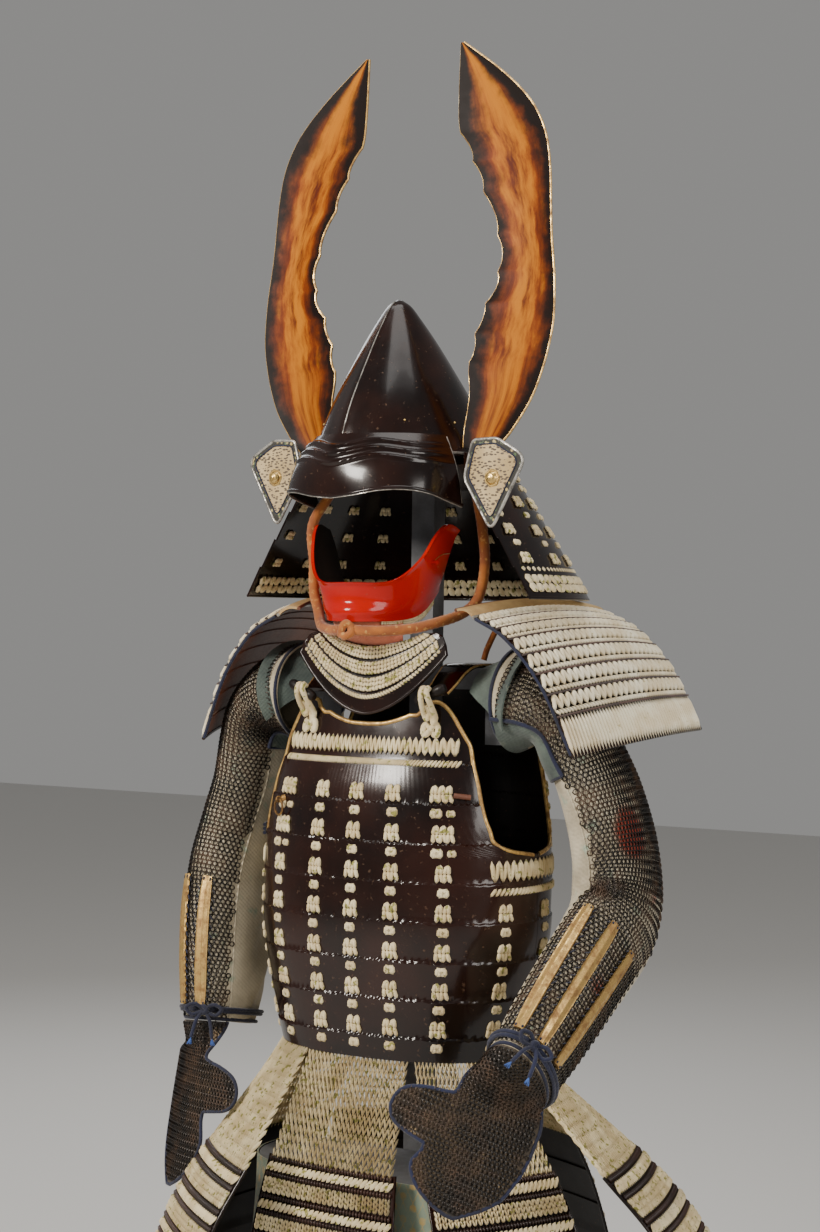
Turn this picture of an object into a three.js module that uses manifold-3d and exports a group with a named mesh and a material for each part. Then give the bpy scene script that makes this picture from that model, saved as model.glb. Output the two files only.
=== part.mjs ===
// A samurai armour on a display stand: helmet with horns, half mask, laced cuirass,
// shoulder guards, mail sleeves, hanging skirt plates and thigh cloth.
// Millimetres, +Z up, the front faces -Y and the wearer's left is +X.
// The origin is on the floor under the middle of the stand's base board.
import * as THREE from "three";
import { mergeVertices } from "three/addons/utils/BufferGeometryUtils.js";
import Module from "manifold-3d";

const wasm = await Module();
wasm.setup();

// Driving sizes
const SEAM = 0.3;
const PLATE = 2.5;
const CLOTH = 2;
const MAIL = 2.5;
const HEAD_YAW = -7;
const FACE = { yaw: 9, x: -25, y: -10 };
const FACE_PLACE = new THREE.Matrix4().makeRotationZ((FACE.yaw * Math.PI) / 180);
FACE_PLACE.setPosition(FACE.x, FACE.y, 0);
const WAIST_Z = 606;
const TASSET_TOP_Z = 482;
const TASSET_BOTTOM_Z = 266;
const LAME_TOP_Z = 953;
const LAME_HEIGHT = 45.6;
const LAME_COUNT = 8;
const LAME_STEP = 1.5;
const LAME_LIP = 1.2;
const ARMHOLE_Z = 848;
const YOKE_TOP_Z = 1066;

// Finishes
const FINISHES = {
  lacquer: { color: 0x1c0d0a, roughness: 0.22, metalness: 0.1 },
  vermilion: { color: 0xb01208, roughness: 0.25, metalness: 0 },
  horn: { color: 0xa8480f, roughness: 0.35, metalness: 0.3 },
  gilt: { color: 0xc08a35, roughness: 0.35, metalness: 0.9 },
  lacing: { color: 0xd8cba4, roughness: 0.85, metalness: 0 },
  cream: { color: 0xb9b294, roughness: 0.95, metalness: 0 },
  mail: { color: 0x3a352c, roughness: 0.55, metalness: 0.6 },
  orange: { color: 0xc97a2c, roughness: 0.9, metalness: 0 },
  salmon: { color: 0xc9765a, roughness: 0.9, metalness: 0 },
  navy: { color: 0x1c2448, roughness: 0.9, metalness: 0 },
  leather: { color: 0xc7ab78, roughness: 0.6, metalness: 0 },
  spotted: { color: 0xd3c096, roughness: 0.7, metalness: 0 },
  sage: { color: 0x6d7a70, roughness: 0.95, metalness: 0 },
  silk: { color: 0x9fb0a2, roughness: 0.8, metalness: 0 },
  toggle: { color: 0x241510, roughness: 0.35, metalness: 0 },
  stand: { color: 0x6f7076, roughness: 0.7, metalness: 0 },
  board: { color: 0x33241a, roughness: 0.55, metalness: 0 },
};

const point = (x, y, z) => new THREE.Vector3(x, y, z);
const rad = (degrees) => (degrees * Math.PI) / 180;
const mix = (a, b, t) => a + (b - a) * t;
const steps = (from, to, count) => Array.from({ length: count + 1 }, (_, i) => mix(from, to, i / count));

// A smooth function through a table's rows: column y over column x.
function curve(rows, x, y) {
  const table = [...rows].sort((a, b) => a[x] - b[x]);
  const slope = (i) => {
    const low = table[Math.max(i - 1, 0)];
    const high = table[Math.min(i + 1, table.length - 1)];
    return (high[y] - low[y]) / (high[x] - low[x]);
  };
  return (at) => {
    const held = Math.min(Math.max(at, table[0][x]), table[table.length - 1][x]);
    const found = table.findIndex((row) => row[x] >= held);
    const i = Math.max(found, 1) - 1;
    const span = table[i + 1][x] - table[i][x];
    const t = (held - table[i][x]) / span;
    const square = t * t;
    const cube = square * t;
    return (
      (2 * cube - 3 * square + 1) * table[i][y] +
      (cube - 2 * square + t) * span * slope(i) +
      (3 * square - 2 * cube) * table[i + 1][y] +
      (cube - square) * span * slope(i + 1)
    );
  };
}

// A closed mesh from points and triangles, turned so that its faces point out.
function solid(points, faces) {
  let volume = 0;
  for (const [a, b, c] of faces) volume += points[a].dot(points[b].clone().cross(points[c]));
  const turned = volume < 0 ? faces.map(([a, b, c]) => [a, c, b]) : faces;
  const geometry = new THREE.BufferGeometry();
  geometry.setAttribute("position", new THREE.Float32BufferAttribute(points.flatMap((p) => p.toArray()), 3));
  geometry.setIndex(turned.flat());
  return geometry;
}

// The same mesh with shared vertices and outward faces.
function closed(geometry) {
  const bare = new THREE.BufferGeometry();
  bare.setAttribute("position", geometry.getAttribute("position"));
  if (geometry.index) bare.setIndex(geometry.index);
  const merged = mergeVertices(bare, 1e-3);
  const place = merged.getAttribute("position");
  const points = Array.from({ length: place.count }, (_, i) => point(place.getX(i), place.getY(i), place.getZ(i)));
  const index = merged.index.array;
  const faces = [];
  for (let i = 0; i < index.length; i += 3) {
    const [a, b, c] = [index[i], index[i + 1], index[i + 2]];
    if (a !== b && b !== c && c !== a) faces.push([a, b, c]);
  }
  return solid(points, faces);
}

// A wall on a grid of rows and columns: an inner face and an outer face that stands
// off it by the thickness. A loop closes round its columns, and a tip closes its top.
function wall({ rows, us, inner, out, thick, loop = false, tip = null }) {
  const count = us.length;
  const points = [];
  for (const side of [0, 1]) {
    for (const row of rows) {
      for (const u of us) {
        const place = inner(u, row);
        if (side) place.addScaledVector(out(u, row).normalize(), thick(u, row));
        points.push(place);
      }
    }
  }
  const at = (side, i, j) => (side * rows.length + i) * count + (j % count);
  const faces = [];
  const quad = (a, b, c, d) => faces.push([a, b, c], [a, c, d]);
  const lastRow = rows.length - 1;
  const spans = loop ? count : count - 1;
  for (let i = 0; i < lastRow; i += 1) {
    for (let j = 0; j < spans; j += 1) {
      quad(at(1, i, j), at(1, i, j + 1), at(1, i + 1, j + 1), at(1, i + 1, j));
      quad(at(0, i, j), at(0, i + 1, j), at(0, i + 1, j + 1), at(0, i, j + 1));
    }
    if (!loop) {
      quad(at(1, i, 0), at(1, i + 1, 0), at(0, i + 1, 0), at(0, i, 0));
      quad(at(1, i + 1, spans), at(1, i, spans), at(0, i, spans), at(0, i + 1, spans));
    }
  }
  const tips = [points.length, points.length + 1];
  if (tip) points.push(tip.inner, tip.outer);
  for (let j = 0; j < spans; j += 1) {
    quad(at(0, 0, j), at(0, 0, j + 1), at(1, 0, j + 1), at(1, 0, j));
    if (tip) {
      faces.push([at(1, lastRow, j), at(1, lastRow, j + 1), tips[1]]);
      faces.push([at(0, lastRow, j + 1), at(0, lastRow, j), tips[0]]);
    } else {
      quad(at(1, lastRow, j), at(1, lastRow, j + 1), at(0, lastRow, j + 1), at(0, lastRow, j));
    }
  }
  return solid(points, faces);
}

function circle(radius, sides) {
  const shape = new THREE.Shape();
  for (let i = 0; i < sides; i += 1) {
    const turn = (i / sides) * 2 * Math.PI;
    const corner = [radius * Math.cos(turn), radius * Math.sin(turn)];
    if (i) shape.lineTo(...corner);
    else shape.moveTo(...corner);
  }
  shape.closePath();
  return shape;
}

// A round tube along a smooth path, closed at both ends.
function tube(points, radius, sides, stepCount) {
  const path = new THREE.CatmullRomCurve3(points, false, "centripetal");
  const options = { steps: stepCount, bevelEnabled: false, extrudePath: path };
  return closed(new THREE.ExtrudeGeometry(circle(radius, sides), options));
}

// A closed ring of tube through a loop of points.
function hoop(points, radius, sides) {
  const count = points.length;
  const all = [];
  const centre = points.reduce((sum, p) => sum.add(p), point(0, 0, 0)).divideScalar(count);
  points.forEach((place, i) => {
    const along = points[(i + 1) % count].clone().sub(points[(i + count - 1) % count]).normalize();
    const away = place.clone().sub(centre);
    away.addScaledVector(along, -away.dot(along)).normalize();
    const across = along.clone().cross(away);
    for (const turn of steps(0, 2 * Math.PI, sides).slice(0, sides)) {
      const spoke = away.clone().multiplyScalar(radius * Math.cos(turn));
      all.push(place.clone().add(spoke).addScaledVector(across, radius * Math.sin(turn)));
    }
  });
  const faces = [];
  for (let i = 0; i < count; i += 1) {
    for (let j = 0; j < sides; j += 1) {
      const [a, b] = [i * sides + j, i * sides + ((j + 1) % sides)];
      const [c, d] = [((i + 1) % count) * sides + ((j + 1) % sides), ((i + 1) % count) * sides + j];
      faces.push([a, b, c], [a, c, d]);
    }
  }
  return solid(all, faces);
}

function manifold(geometry) {
  const triVerts = new Uint32Array(geometry.index.array);
  const vertProperties = new Float32Array(geometry.getAttribute("position").array);
  return new wasm.Manifold(new wasm.Mesh({ numProp: 3, vertProperties, triVerts }));
}

// Solids fused into one body.
function join(...geometries) {
  const parts = geometries.map(manifold);
  const whole = parts.slice(1).reduce((sum, next) => sum.add(next), parts[0]);
  const mesh = whole.getMesh();
  const geometry = new THREE.BufferGeometry();
  geometry.setAttribute("position", new THREE.BufferAttribute(mesh.vertProperties, 3));
  geometry.setIndex(new THREE.BufferAttribute(mesh.triVerts, 1));
  return closed(geometry);
}

const mirrored = (geometry) => closed(geometry.clone().applyMatrix4(new THREE.Matrix4().makeScale(-1, 1, 1)));
const yawed = (geometry) => geometry.clone().rotateZ(rad(HEAD_YAW));
const placed = (item) => item.clone().applyMatrix4(FACE_PLACE);

// A solid made along +Z, laid so that its +Z points along a direction at a place.
function laid(geometry, place, direction) {
  const turn = new THREE.Quaternion().setFromUnitVectors(point(0, 0, 1), direction.clone().normalize());
  const copy = geometry.clone().applyQuaternion(turn);
  return closed(copy.translate(place.x, place.y, place.z));
}

// A box between two corners.
function block(low, high) {
  const size = high.clone().sub(low);
  const centre = high.clone().add(low).multiplyScalar(0.5);
  const box = new THREE.BoxGeometry(size.x, size.y, size.z);
  return closed(box.translate(centre.x, centre.y, centre.z));
}

const group = new THREE.Group();

function add(name, geometry, finish) {
  const mesh = new THREE.Mesh(geometry, new THREE.MeshStandardMaterial({ ...FINISHES[finish], name: finish }));
  mesh.name = name;
  group.add(mesh);
}

// A mirrored pair, made for the wearer's left.
function addPair(name, left, finish) {
  add(`${name}_left`, left, finish);
  add(`${name}_right`, mirrored(left), finish);
}

// A pair on the head, mirrored first and then turned with it.
function addHeadPair(name, left, finish) {
  add(`${name}_left`, yawed(left), finish);
  add(`${name}_right`, yawed(mirrored(left)), finish);
}

// Cuirass: round in plan as a superellipse, with its half width, depth in front and
// depth behind at each level.
const ROUNDNESS = 2.4;
const CUIRASS = [
  { z: 606, side: 150, front: 107, back: 108 },
  { z: 650, side: 161, front: 111, back: 114 },
  { z: 740, side: 178, front: 121, back: 123 },
  { z: 787, side: 179, front: 122, back: 125 },
  { z: 870, side: 176, front: 118, back: 127 },
  { z: 925, side: 168, front: 110, back: 128 },
  { z: 957, side: 161, front: 99, back: 127 },
  { z: 990, side: 156, front: 93, back: 124 },
  { z: 1058, side: 148, front: 80, back: 116 },
];
// Half of the angle that a cuirass half covers at each level.
const COVER = [
  { z: 848, angle: 89.9 },
  { z: 855, angle: 76 },
  { z: 863, angle: 69.5 },
  { z: 875, angle: 66 },
  { z: 897, angle: 63.6 },
  { z: 933, angle: 62.4 },
  { z: 975, angle: 61.5 },
];
const NECK_Z = 975;
// The top edge of each half, over the share of its angle from the middle.
const FRONT_TOP = [
  { u: 0, z: 996, angle: 57 },
  { u: 0.3, z: 998, angle: 57 },
  { u: 0.6, z: 1008, angle: 57 },
  { u: 0.85, z: 1024, angle: 57 },
  { u: 0.94, z: 1018, angle: 57 },
  { u: 1, z: 1005, angle: 57 },
];
const BACK_TOP = [
  { u: 0, z: 1044 },
  { u: 0.3, z: 1046 },
  { u: 0.6, z: 1052 },
  { u: 0.82, z: 1054 },
  { u: 0.94, z: 1044 },
  { u: 1, z: 1026 },
];
const TOP_ANGLE = 56;
const sideAt = curve(CUIRASS, "z", "side");
const frontAt = curve(CUIRASS, "z", "front");
const backAt = curve(CUIRASS, "z", "back");
const coverAt = curve(COVER, "z", "angle");

// Distance from the axis to the cuirass's inner face.
function cuirassReach(angle, z) {
  const depth = Math.cos(rad(angle)) > 0 ? frontAt(z) : backAt(z);
  const across = Math.abs(Math.sin(rad(angle)) / sideAt(z)) ** ROUNDNESS;
  const along = Math.abs(Math.cos(rad(angle)) / depth) ** ROUNDNESS;
  return (across + along) ** (-1 / ROUNDNESS);
}

function cuirassPoint(angle, z, lift) {
  const reach = cuirassReach(angle, z);
  const place = point(reach * Math.sin(rad(angle)), -reach * Math.cos(rad(angle)), z);
  return place.addScaledVector(cuirassNormal(angle, z), lift);
}

// The level direction that points straight out of the cuirass.
function cuirassNormal(angle, z) {
  const delta = 0.5;
  const before = cuirassReach(angle - delta, z);
  const after = cuirassReach(angle + delta, z);
  const [low, high] = [rad(angle - delta), rad(angle + delta)];
  const along = point(
    after * Math.sin(high) - before * Math.sin(low),
    before * Math.cos(low) - after * Math.cos(high),
    0,
  );
  return point(along.y, -along.x, 0).normalize();
}

// Rows of a cuirass half: each lame's foot and head, and the levels of the armhole.
function cuirassRows() {
  const rows = [{ z: WAIST_Z, lift: 0 }];
  for (let k = LAME_COUNT - 1; k >= 0; k -= 1) {
    const foot = LAME_TOP_Z - LAME_HEIGHT * k;
    const below = LAME_STEP * (k === LAME_COUNT - 1 ? 0.6 : 1);
    rows.push({ z: foot, lift: below }, { z: foot + LAME_LIP, lift: 0 });
  }
  const share = (z) => (((z - LAME_TOP_Z) % LAME_HEIGHT) + LAME_HEIGHT) % LAME_HEIGHT;
  for (const z of [ARMHOLE_Z, 855, 875, 890]) rows.push({ z, lift: (LAME_STEP * share(z)) / LAME_HEIGHT });
  rows.push({ z: NECK_Z, lift: 0 });
  return rows.sort((a, b) => a.z - b.z).concat([{ t: 0.5, lift: 0 }, { t: 1, lift: 0 }]);
}

// Where a share of a half's angle and a row lie: an angle from the middle and a level.
function cuirassSpot(u, row, topAt) {
  if (row.t === undefined) return { angle: u * (row.z < ARMHOLE_Z ? 89.9 : coverAt(row.z)), z: row.z };
  const z = mix(NECK_Z, topAt(Math.abs(u)), row.t);
  return { angle: u * mix(coverAt(NECK_Z), TOP_ANGLE, row.t), z };
}

function cuirassHalf(turn, topAt) {
  const spot = (u, row) => cuirassSpot(u, row, topAt);
  return wall({
    rows: cuirassRows(),
    us: steps(-1, 1, 12),
    inner: (u, row) => cuirassPoint(turn + spot(u, row).angle, spot(u, row).z, row.lift),
    out: (u, row) => cuirassNormal(turn + spot(u, row).angle, spot(u, row).z),
    thick: () => PLATE,
  });
}

const RIM_RADIUS = 2.4;
const RIM_GAP = 0.8;

// A gilt tube along the free edge of a half: up one armhole, over the top and down.
function cuirassRim(turn, topAt) {
  const side = [849, 851, 855, 863, 875, 890, 908, 930, 953, NECK_Z].map((z) => ({ u: 1, row: { z } }));
  const corner = [0.5].map((t) => ({ u: 1, row: { t } }));
  const top = [1, 11 / 12, 10 / 12, 9 / 12, 8 / 12, 6 / 12, 4 / 12, 2 / 12, 0].map((u) => ({ u, row: { t: 1 } }));
  const half = [...side, ...corner, ...top];
  const other = half.slice(0, -1).reverse().map(({ u, row }) => ({ u: -u, row }));
  const spots = [...half, ...other].map(({ u, row }) => cuirassSpot(u, row, topAt));
  const path = spots.map(({ angle, z }) => cuirassPoint(turn + angle, z, PLATE / 2 + LAME_STEP / 2));
  const shifted = path.map((place, i) => {
    const along = path[Math.min(i + 1, path.length - 1)].clone().sub(path[Math.max(i - 1, 0)]).normalize();
    const normal = cuirassNormal(turn + spots[i].angle, spots[i].z);
    const away = along.cross(normal).normalize();
    return place.clone().addScaledVector(away, RIM_RADIUS + RIM_GAP);
  });
  return tube(shifted, RIM_RADIUS, 5, 44);
}

const frontTop = curve(FRONT_TOP, "u", "z");
const backTop = curve(BACK_TOP, "u", "z");
add("cuirass_front", cuirassHalf(0, frontTop), "lacquer");
add("cuirass_back", cuirassHalf(180, backTop), "lacquer");
add("gilt_rim_front", cuirassRim(0, frontTop), "gilt");
add("gilt_rim_back", cuirassRim(180, backTop), "gilt");

// Shoulder straps: a band over the yoke, its middle line and half width.
const STRAP_X = 85;
const STRAP_THICK = 5;
const STRAP = [
  { y: -76, z: 1034, half: 16 },
  { y: -60, z: 1043.5, half: 17 },
  { y: -38, z: 1058.5, half: 19 },
  { y: -15, z: YOKE_TOP_Z + SEAM, half: 22 },
  { y: 44, z: YOKE_TOP_Z + SEAM, half: 23 },
  { y: 74, z: 1065, half: 23 },
  { y: 96, z: 1060.5, half: 23 },
];

function strap() {
  const normal = (i) => {
    const low = STRAP[Math.max(i - 1, 0)];
    const high = STRAP[Math.min(i + 1, STRAP.length - 1)];
    return point(0, low.z - high.z, high.y - low.y);
  };
  return wall({
    rows: STRAP.map((row, i) => ({ ...row, normal: normal(i) })),
    us: [-1, 0, 1],
    inner: (u, row) => point(STRAP_X + u * row.half, row.y, row.z),
    out: (u, row) => row.normal.clone(),
    thick: (u) => STRAP_THICK - 1.5 * Math.abs(u),
  });
}
addPair("strap", strap(), "lacquer");

// Toggles: a spindle in the loop of a cord that ends on the breast.
const TOGGLE = { x: 90, y: -98, z: 1036, length: 41, radius: 6.5, tilt: 25 };

function toggle() {
  const half = TOGGLE.length / 2;
  const profile = [
    [0, -half],
    [TOGGLE.radius * 0.7, -half],
    [TOGGLE.radius, -half * 0.55],
    [TOGGLE.radius * 0.8, 0],
    [TOGGLE.radius, half * 0.55],
    [TOGGLE.radius * 0.7, half],
    [0, half],
  ].map(([x, y]) => new THREE.Vector2(x, y));
  const spindle = new THREE.LatheGeometry(profile, 8).rotateX(rad(90));
  const direction = point(Math.cos(rad(TOGGLE.tilt)), 0.12, Math.sin(rad(TOGGLE.tilt)));
  const body = laid(spindle, point(TOGGLE.x, TOGGLE.y, TOGGLE.z), direction);
  const grommet = cuirassPoint(46, 1004, PLATE + SEAM + 4);
  const loop = [point(TOGGLE.x, TOGGLE.y - 3, TOGGLE.z), point(TOGGLE.x - 3, TOGGLE.y - 1, TOGGLE.z - 14), grommet];
  return join(body, tube(loop, 4, 6, 4));
}
addPair("toggle", toggle(), "toggle");

// Chest ring: a domed rivet with an eye, and a ring that swings in the eye.
const RING = { angle: -50.5, z: 903, reach: 7, radius: 9.5, wire: 1.3 };
const EYE = { radius: 3.3, wire: 1.1 };
const ringNormal = cuirassNormal(RING.angle, RING.z);
const ringAlong = point(-ringNormal.y, ringNormal.x, 0);
const ringSeat = cuirassPoint(RING.angle, RING.z, PLATE + LAME_STEP + SEAM);
const ringPivot = ringSeat.clone().addScaledVector(ringNormal, RING.reach);

function ringMount() {
  const dome = [
    [0, 0],
    [6, 0],
    [5, 2.2],
    [2.4, 3.8],
    [0, 3.9],
  ].map(([x, y]) => new THREE.Vector2(x, y));
  const rivet = laid(new THREE.LatheGeometry(dome, 8).rotateX(rad(90)), ringSeat, ringNormal);
  const eye = laid(new THREE.TorusGeometry(EYE.radius, EYE.wire, 5, 10), ringPivot, ringAlong);
  return join(rivet, eye);
}

function ring() {
  const circleRing = new THREE.TorusGeometry(RING.radius, RING.wire, 5, 16);
  return laid(circleRing, ringPivot.clone().add(point(0, 0, -RING.radius)), ringNormal);
}
add("ring_mount", ringMount(), "gilt");
add("ring", ring(), "gilt");

// Helmet bowl: half width, half depth in front and behind, and a scale at each height
// over the brow line.
const BROW_Z = 1335;
const BOWL = { side: 100, front: 118, back: 105, thick: 3, apex: 175 };
const BOWL_ROWS = [
  { h: -17, scale: 1.01, shift: -10 },
  { h: 0, scale: 1, shift: -10 },
  { h: 30, scale: 0.9, shift: -12 },
  { h: 55, scale: 0.79, shift: -14 },
  { h: 98, scale: 0.56, shift: -18.5 },
  { h: 128, scale: 0.39, shift: -22 },
  { h: 155, scale: 0.22, shift: -25.5 },
  { h: 168, scale: 0.125, shift: -27 },
];
const RIDGE = { height: 0.045, width: 10 };

// A point of the bowl's outer face; the angle runs from the front.
function bowlPoint(angle, row, inset) {
  const depth = Math.cos(rad(angle)) > 0 ? BOWL.front : BOWL.back;
  const folded = ((angle + 540) % 360) - 180;
  const ridge = 1 + RIDGE.height * Math.exp(-((folded / RIDGE.width) ** 2));
  const side = BOWL.side * row.scale * ridge - inset;
  return point(
    side * Math.sin(rad(angle)),
    row.shift - (depth * row.scale * ridge - inset) * Math.cos(rad(angle)),
    BROW_Z + row.h - inset * 0.35,
  );
}

function bowl() {
  const angles = [0, 6, 14, 28, 44, 60, 76, 92, 108, 126, 144, 162, 180];
  const all = [...angles, ...angles.slice(1, -1).reverse().map((angle) => -angle)];
  return wall({
    rows: BOWL_ROWS,
    us: all,
    inner: (angle, row) => bowlPoint(angle, row, BOWL.thick),
    out: (angle, row) => bowlPoint(angle, row, 0).sub(bowlPoint(angle, row, BOWL.thick)),
    thick: (angle, row) => bowlPoint(angle, row, 0).distanceTo(bowlPoint(angle, row, BOWL.thick)),
    loop: true,
    tip: {
      inner: point(0, -28, BROW_Z + BOWL.apex - 5),
      outer: point(0, -28, BROW_Z + BOWL.apex),
    },
  });
}
add("helmet_bowl", yawed(bowl()), "lacquer");

// Visor: from the brow line of the bowl out and down to its rolled edge.
const VISOR_EDGE = [
  { u: 0, x: 0, y: -150, z: 1266 },
  { u: 0.2, x: 32, y: -149, z: 1269 },
  { u: 0.4, x: 63, y: -140, z: 1274 },
  { u: 0.62, x: 90, y: -123, z: 1275 },
  { u: 0.8, x: 106, y: -100, z: 1271 },
  { u: 0.9, x: 109, y: -72, z: 1264 },
  { u: 1, x: 110, y: -44, z: 1258 },
];
const VISOR = { angle: 68, thick: 2.4, bulge: 7, foldDepth: 2.4, foldFrom: 0.12, foldPitch: 0.14, folds: 3 };
const visorX = curve(VISOR_EDGE, "u", "x");
const visorY = curve(VISOR_EDGE, "u", "y");
const visorZ = curve(VISOR_EDGE, "u", "z");

function visorPoint(u, t) {
  const top = bowlPoint(u * VISOR.angle, { h: 4, scale: 0.991, shift: -10.2 }, -SEAM - 1.6);
  const low = point(Math.sign(u) * visorX(Math.abs(u)), visorY(Math.abs(u)), visorZ(Math.abs(u)));
  const place = top.lerp(low, t);
  const swell = VISOR.bulge * Math.sin(Math.PI * t);
  return place.add(point(Math.sin(rad(u * VISOR.angle)) * swell, -Math.cos(rad(u * VISOR.angle)) * swell, 0));
}

function visor() {
  const end = VISOR.foldFrom + VISOR.foldPitch * VISOR.folds;
  const ts = [0, ...steps(VISOR.foldFrom, end, VISOR.folds * 2), 0.7, 0.88, 1];
  const waves = (u, t) => {
    if (t < VISOR.foldFrom || t > end) return 0;
    const wave = Math.sin((Math.PI * (t - VISOR.foldFrom)) / VISOR.foldPitch) ** 2;
    return VISOR.foldDepth * wave * (1 - Math.abs(u) ** 3);
  };
  return wall({
    rows: ts.map((t) => ({ t })),
    us: steps(-1, 1, 12),
    inner: (u, row) => visorPoint(u, row.t),
    out: (u) => point(Math.sin(rad(u * VISOR.angle)), -Math.cos(rad(u * VISOR.angle)), 0.6),
    thick: (u, row) => VISOR.thick + waves(u, row.t),
  });
}
add("visor", yawed(visor()), "lacquer");

// Neck guard: lames that widen downwards, open at the face.
const GUARD = [
  { z: 1321, side: 106, back: 110, front: 32 },
  { z: 1287, side: 130, back: 128, front: 54.5 },
  { z: 1253, side: 153, back: 147, front: 54.5 },
  { z: 1219, side: 176, back: 166, front: 54.5 },
  { z: 1185, side: 199, back: 184, front: 54.5 },
  { z: 1150, side: 222, back: 202, front: 54.5 },
];
const GUARD_STEP = 2.2;

function neckGuard() {
  const rows = [];
  GUARD.slice(0, -1).forEach((row, i) => {
    rows.push({ ...row, lift: i ? GUARD_STEP : 0, z: i ? row.z - 1 : row.z });
    rows.push({ ...GUARD[i + 1], lift: 0 });
  });
  const angleOf = (u, row) => u * (90 + Math.asin(row.front / (row.side * 1.2)) * (180 / Math.PI));
  const out = (u, row) => {
    const angle = rad(angleOf(u, row));
    return point(Math.sin(angle), Math.cos(angle), 0.62);
  };
  return wall({
    rows,
    us: steps(-1, 1, 14),
    inner: (u, row) => {
      const angle = rad(angleOf(u, row));
      const depth = Math.cos(angle) > 0 ? row.back : row.side * 1.2;
      const place = point(row.side * Math.sin(angle), depth * Math.cos(angle), row.z);
      return place.addScaledVector(out(u, row).normalize(), row.lift);
    },
    out,
    thick: () => PLATE,
  });
}
add("neck_guard", yawed(neckGuard()), "lacquer");

// Turnbacks: leather-faced wings in front of the neck guard's ends.
const TURNBACK = { y: -60.3, thick: 3, drop: 9 };
const TURNBACK_OUTLINE = [
  { x: 138, z: 1342, round: 6 },
  { x: 173, z: 1343, round: 6 },
  { x: 214, z: 1320, round: 14 },
  { x: 166, z: 1236, round: 12 },
  { x: 126, z: 1298, round: 8 },
];

function turnback() {
  const corners = TURNBACK_OUTLINE.map(({ x, z }) => new THREE.Vector2(x, z));
  const shape = new THREE.Shape();
  corners.forEach((corner, i) => {
    const before = corners[(i + corners.length - 1) % corners.length];
    const after = corners[(i + 1) % corners.length];
    const { round } = TURNBACK_OUTLINE[i];
    const enter = before.clone().sub(corner).setLength(round).add(corner);
    const leave = after.clone().sub(corner).setLength(round).add(corner);
    if (i) shape.lineTo(enter.x, enter.y);
    else shape.moveTo(enter.x, enter.y);
    shape.quadraticCurveTo(corner.x, corner.y, leave.x, leave.y);
  });
  shape.closePath();
  const plate = new THREE.ExtrudeGeometry(shape, { depth: TURNBACK.thick, bevelEnabled: false, curveSegments: 3 });
  return closed(plate.rotateX(rad(90)).translate(0, TURNBACK.y + TURNBACK.thick, 0));
}
add("turnback_left", yawed(turnback().translate(0, 0, -TURNBACK.drop)), "spotted");
add("turnback_right", yawed(mirrored(turnback())), "spotted");

const KNOB = { x: 168, z: 1297, radius: 10, height: 7 };

function knob() {
  const profile = [
    [0, 0],
    [KNOB.radius, 0],
    [KNOB.radius, 1.2],
    [KNOB.radius * 0.75, 2],
    [KNOB.radius * 0.66, 4.4],
    [KNOB.radius * 0.35, KNOB.height * 0.95],
    [0, KNOB.height],
  ].map(([x, y]) => new THREE.Vector2(x, y));
  const dome = new THREE.LatheGeometry(profile, 10).rotateX(rad(90));
  return laid(dome, point(KNOB.x, TURNBACK.y - SEAM, KNOB.z), point(0, -1, 0));
}
add("knob_left", yawed(knob().translate(0, 0, -TURNBACK.drop)), "gilt");
add("knob_right", yawed(mirrored(knob())), "gilt");

// Horns: a thin curved blade with a scalloped inner edge.
const HORN_THICK = 4;
const HORN_OUTER = [
  { z: 1327, x: 150 },
  { z: 1345, x: 169 },
  { z: 1390, x: 200 },
  { z: 1458, x: 221 },
  { z: 1515, x: 222 },
  { z: 1573, x: 215 },
  { z: 1677, x: 205 },
  { z: 1726, x: 183 },
  { z: 1769, x: 140 },
  { z: 1817, x: 74.5 },
];
const HORN_INNER = [
  { z: 1327, x: 102 },
  { z: 1345, x: 102 },
  { z: 1390, x: 108 },
  { z: 1421, x: 105 },
  { z: 1458, x: 110 },
  { z: 1488, x: 121 },
  { z: 1531, x: 141 },
  { z: 1580, x: 138 },
  { z: 1634, x: 114 },
  { z: 1677, x: 94 },
  { z: 1708, x: 77 },
  { z: 1740, x: 73 },
  { z: 1817, x: 72 },
];
const HORN_CUSPS = [1429, 1462, 1497, 1534, 1578, 1632, 1670, 1707];
const SCALLOP_DEPTH = 5;
const HORN_LEAN = { base: -31, rise: 0.0485, dish: 5 };
const hornOuter = curve(HORN_OUTER, "z", "x");
const hornInner = curve(HORN_INNER, "z", "x");

function horn() {
  const rows = [1327, 1345, 1366, 1390, 1410].map((z) => ({ z, bite: 0 }));
  HORN_CUSPS.forEach((z, i) => {
    rows.push({ z, bite: 0 });
    const next = HORN_CUSPS[i + 1];
    if (next) rows.push({ z: (z + next) / 2, bite: SCALLOP_DEPTH });
  });
  rows.push(...[1726, 1748, 1769, 1793, 1817].map((z) => ({ z, bite: 0 })));
  return wall({
    rows,
    us: [0, 0.35, 0.7, 1],
    inner: (u, row) => {
      const x = mix(hornInner(row.z) + row.bite, hornOuter(row.z), u);
      const dish = HORN_LEAN.dish * (1 - (2 * u - 1) ** 2) * Math.min(1, (1817 - row.z) / 120);
      return point(x, HORN_LEAN.base + HORN_LEAN.rise * (row.z - 1327) + dish, row.z);
    },
    out: () => point(0, 1, 0),
    thick: () => HORN_THICK,
  });
}
addHeadPair("horn", horn(), "horn");

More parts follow.
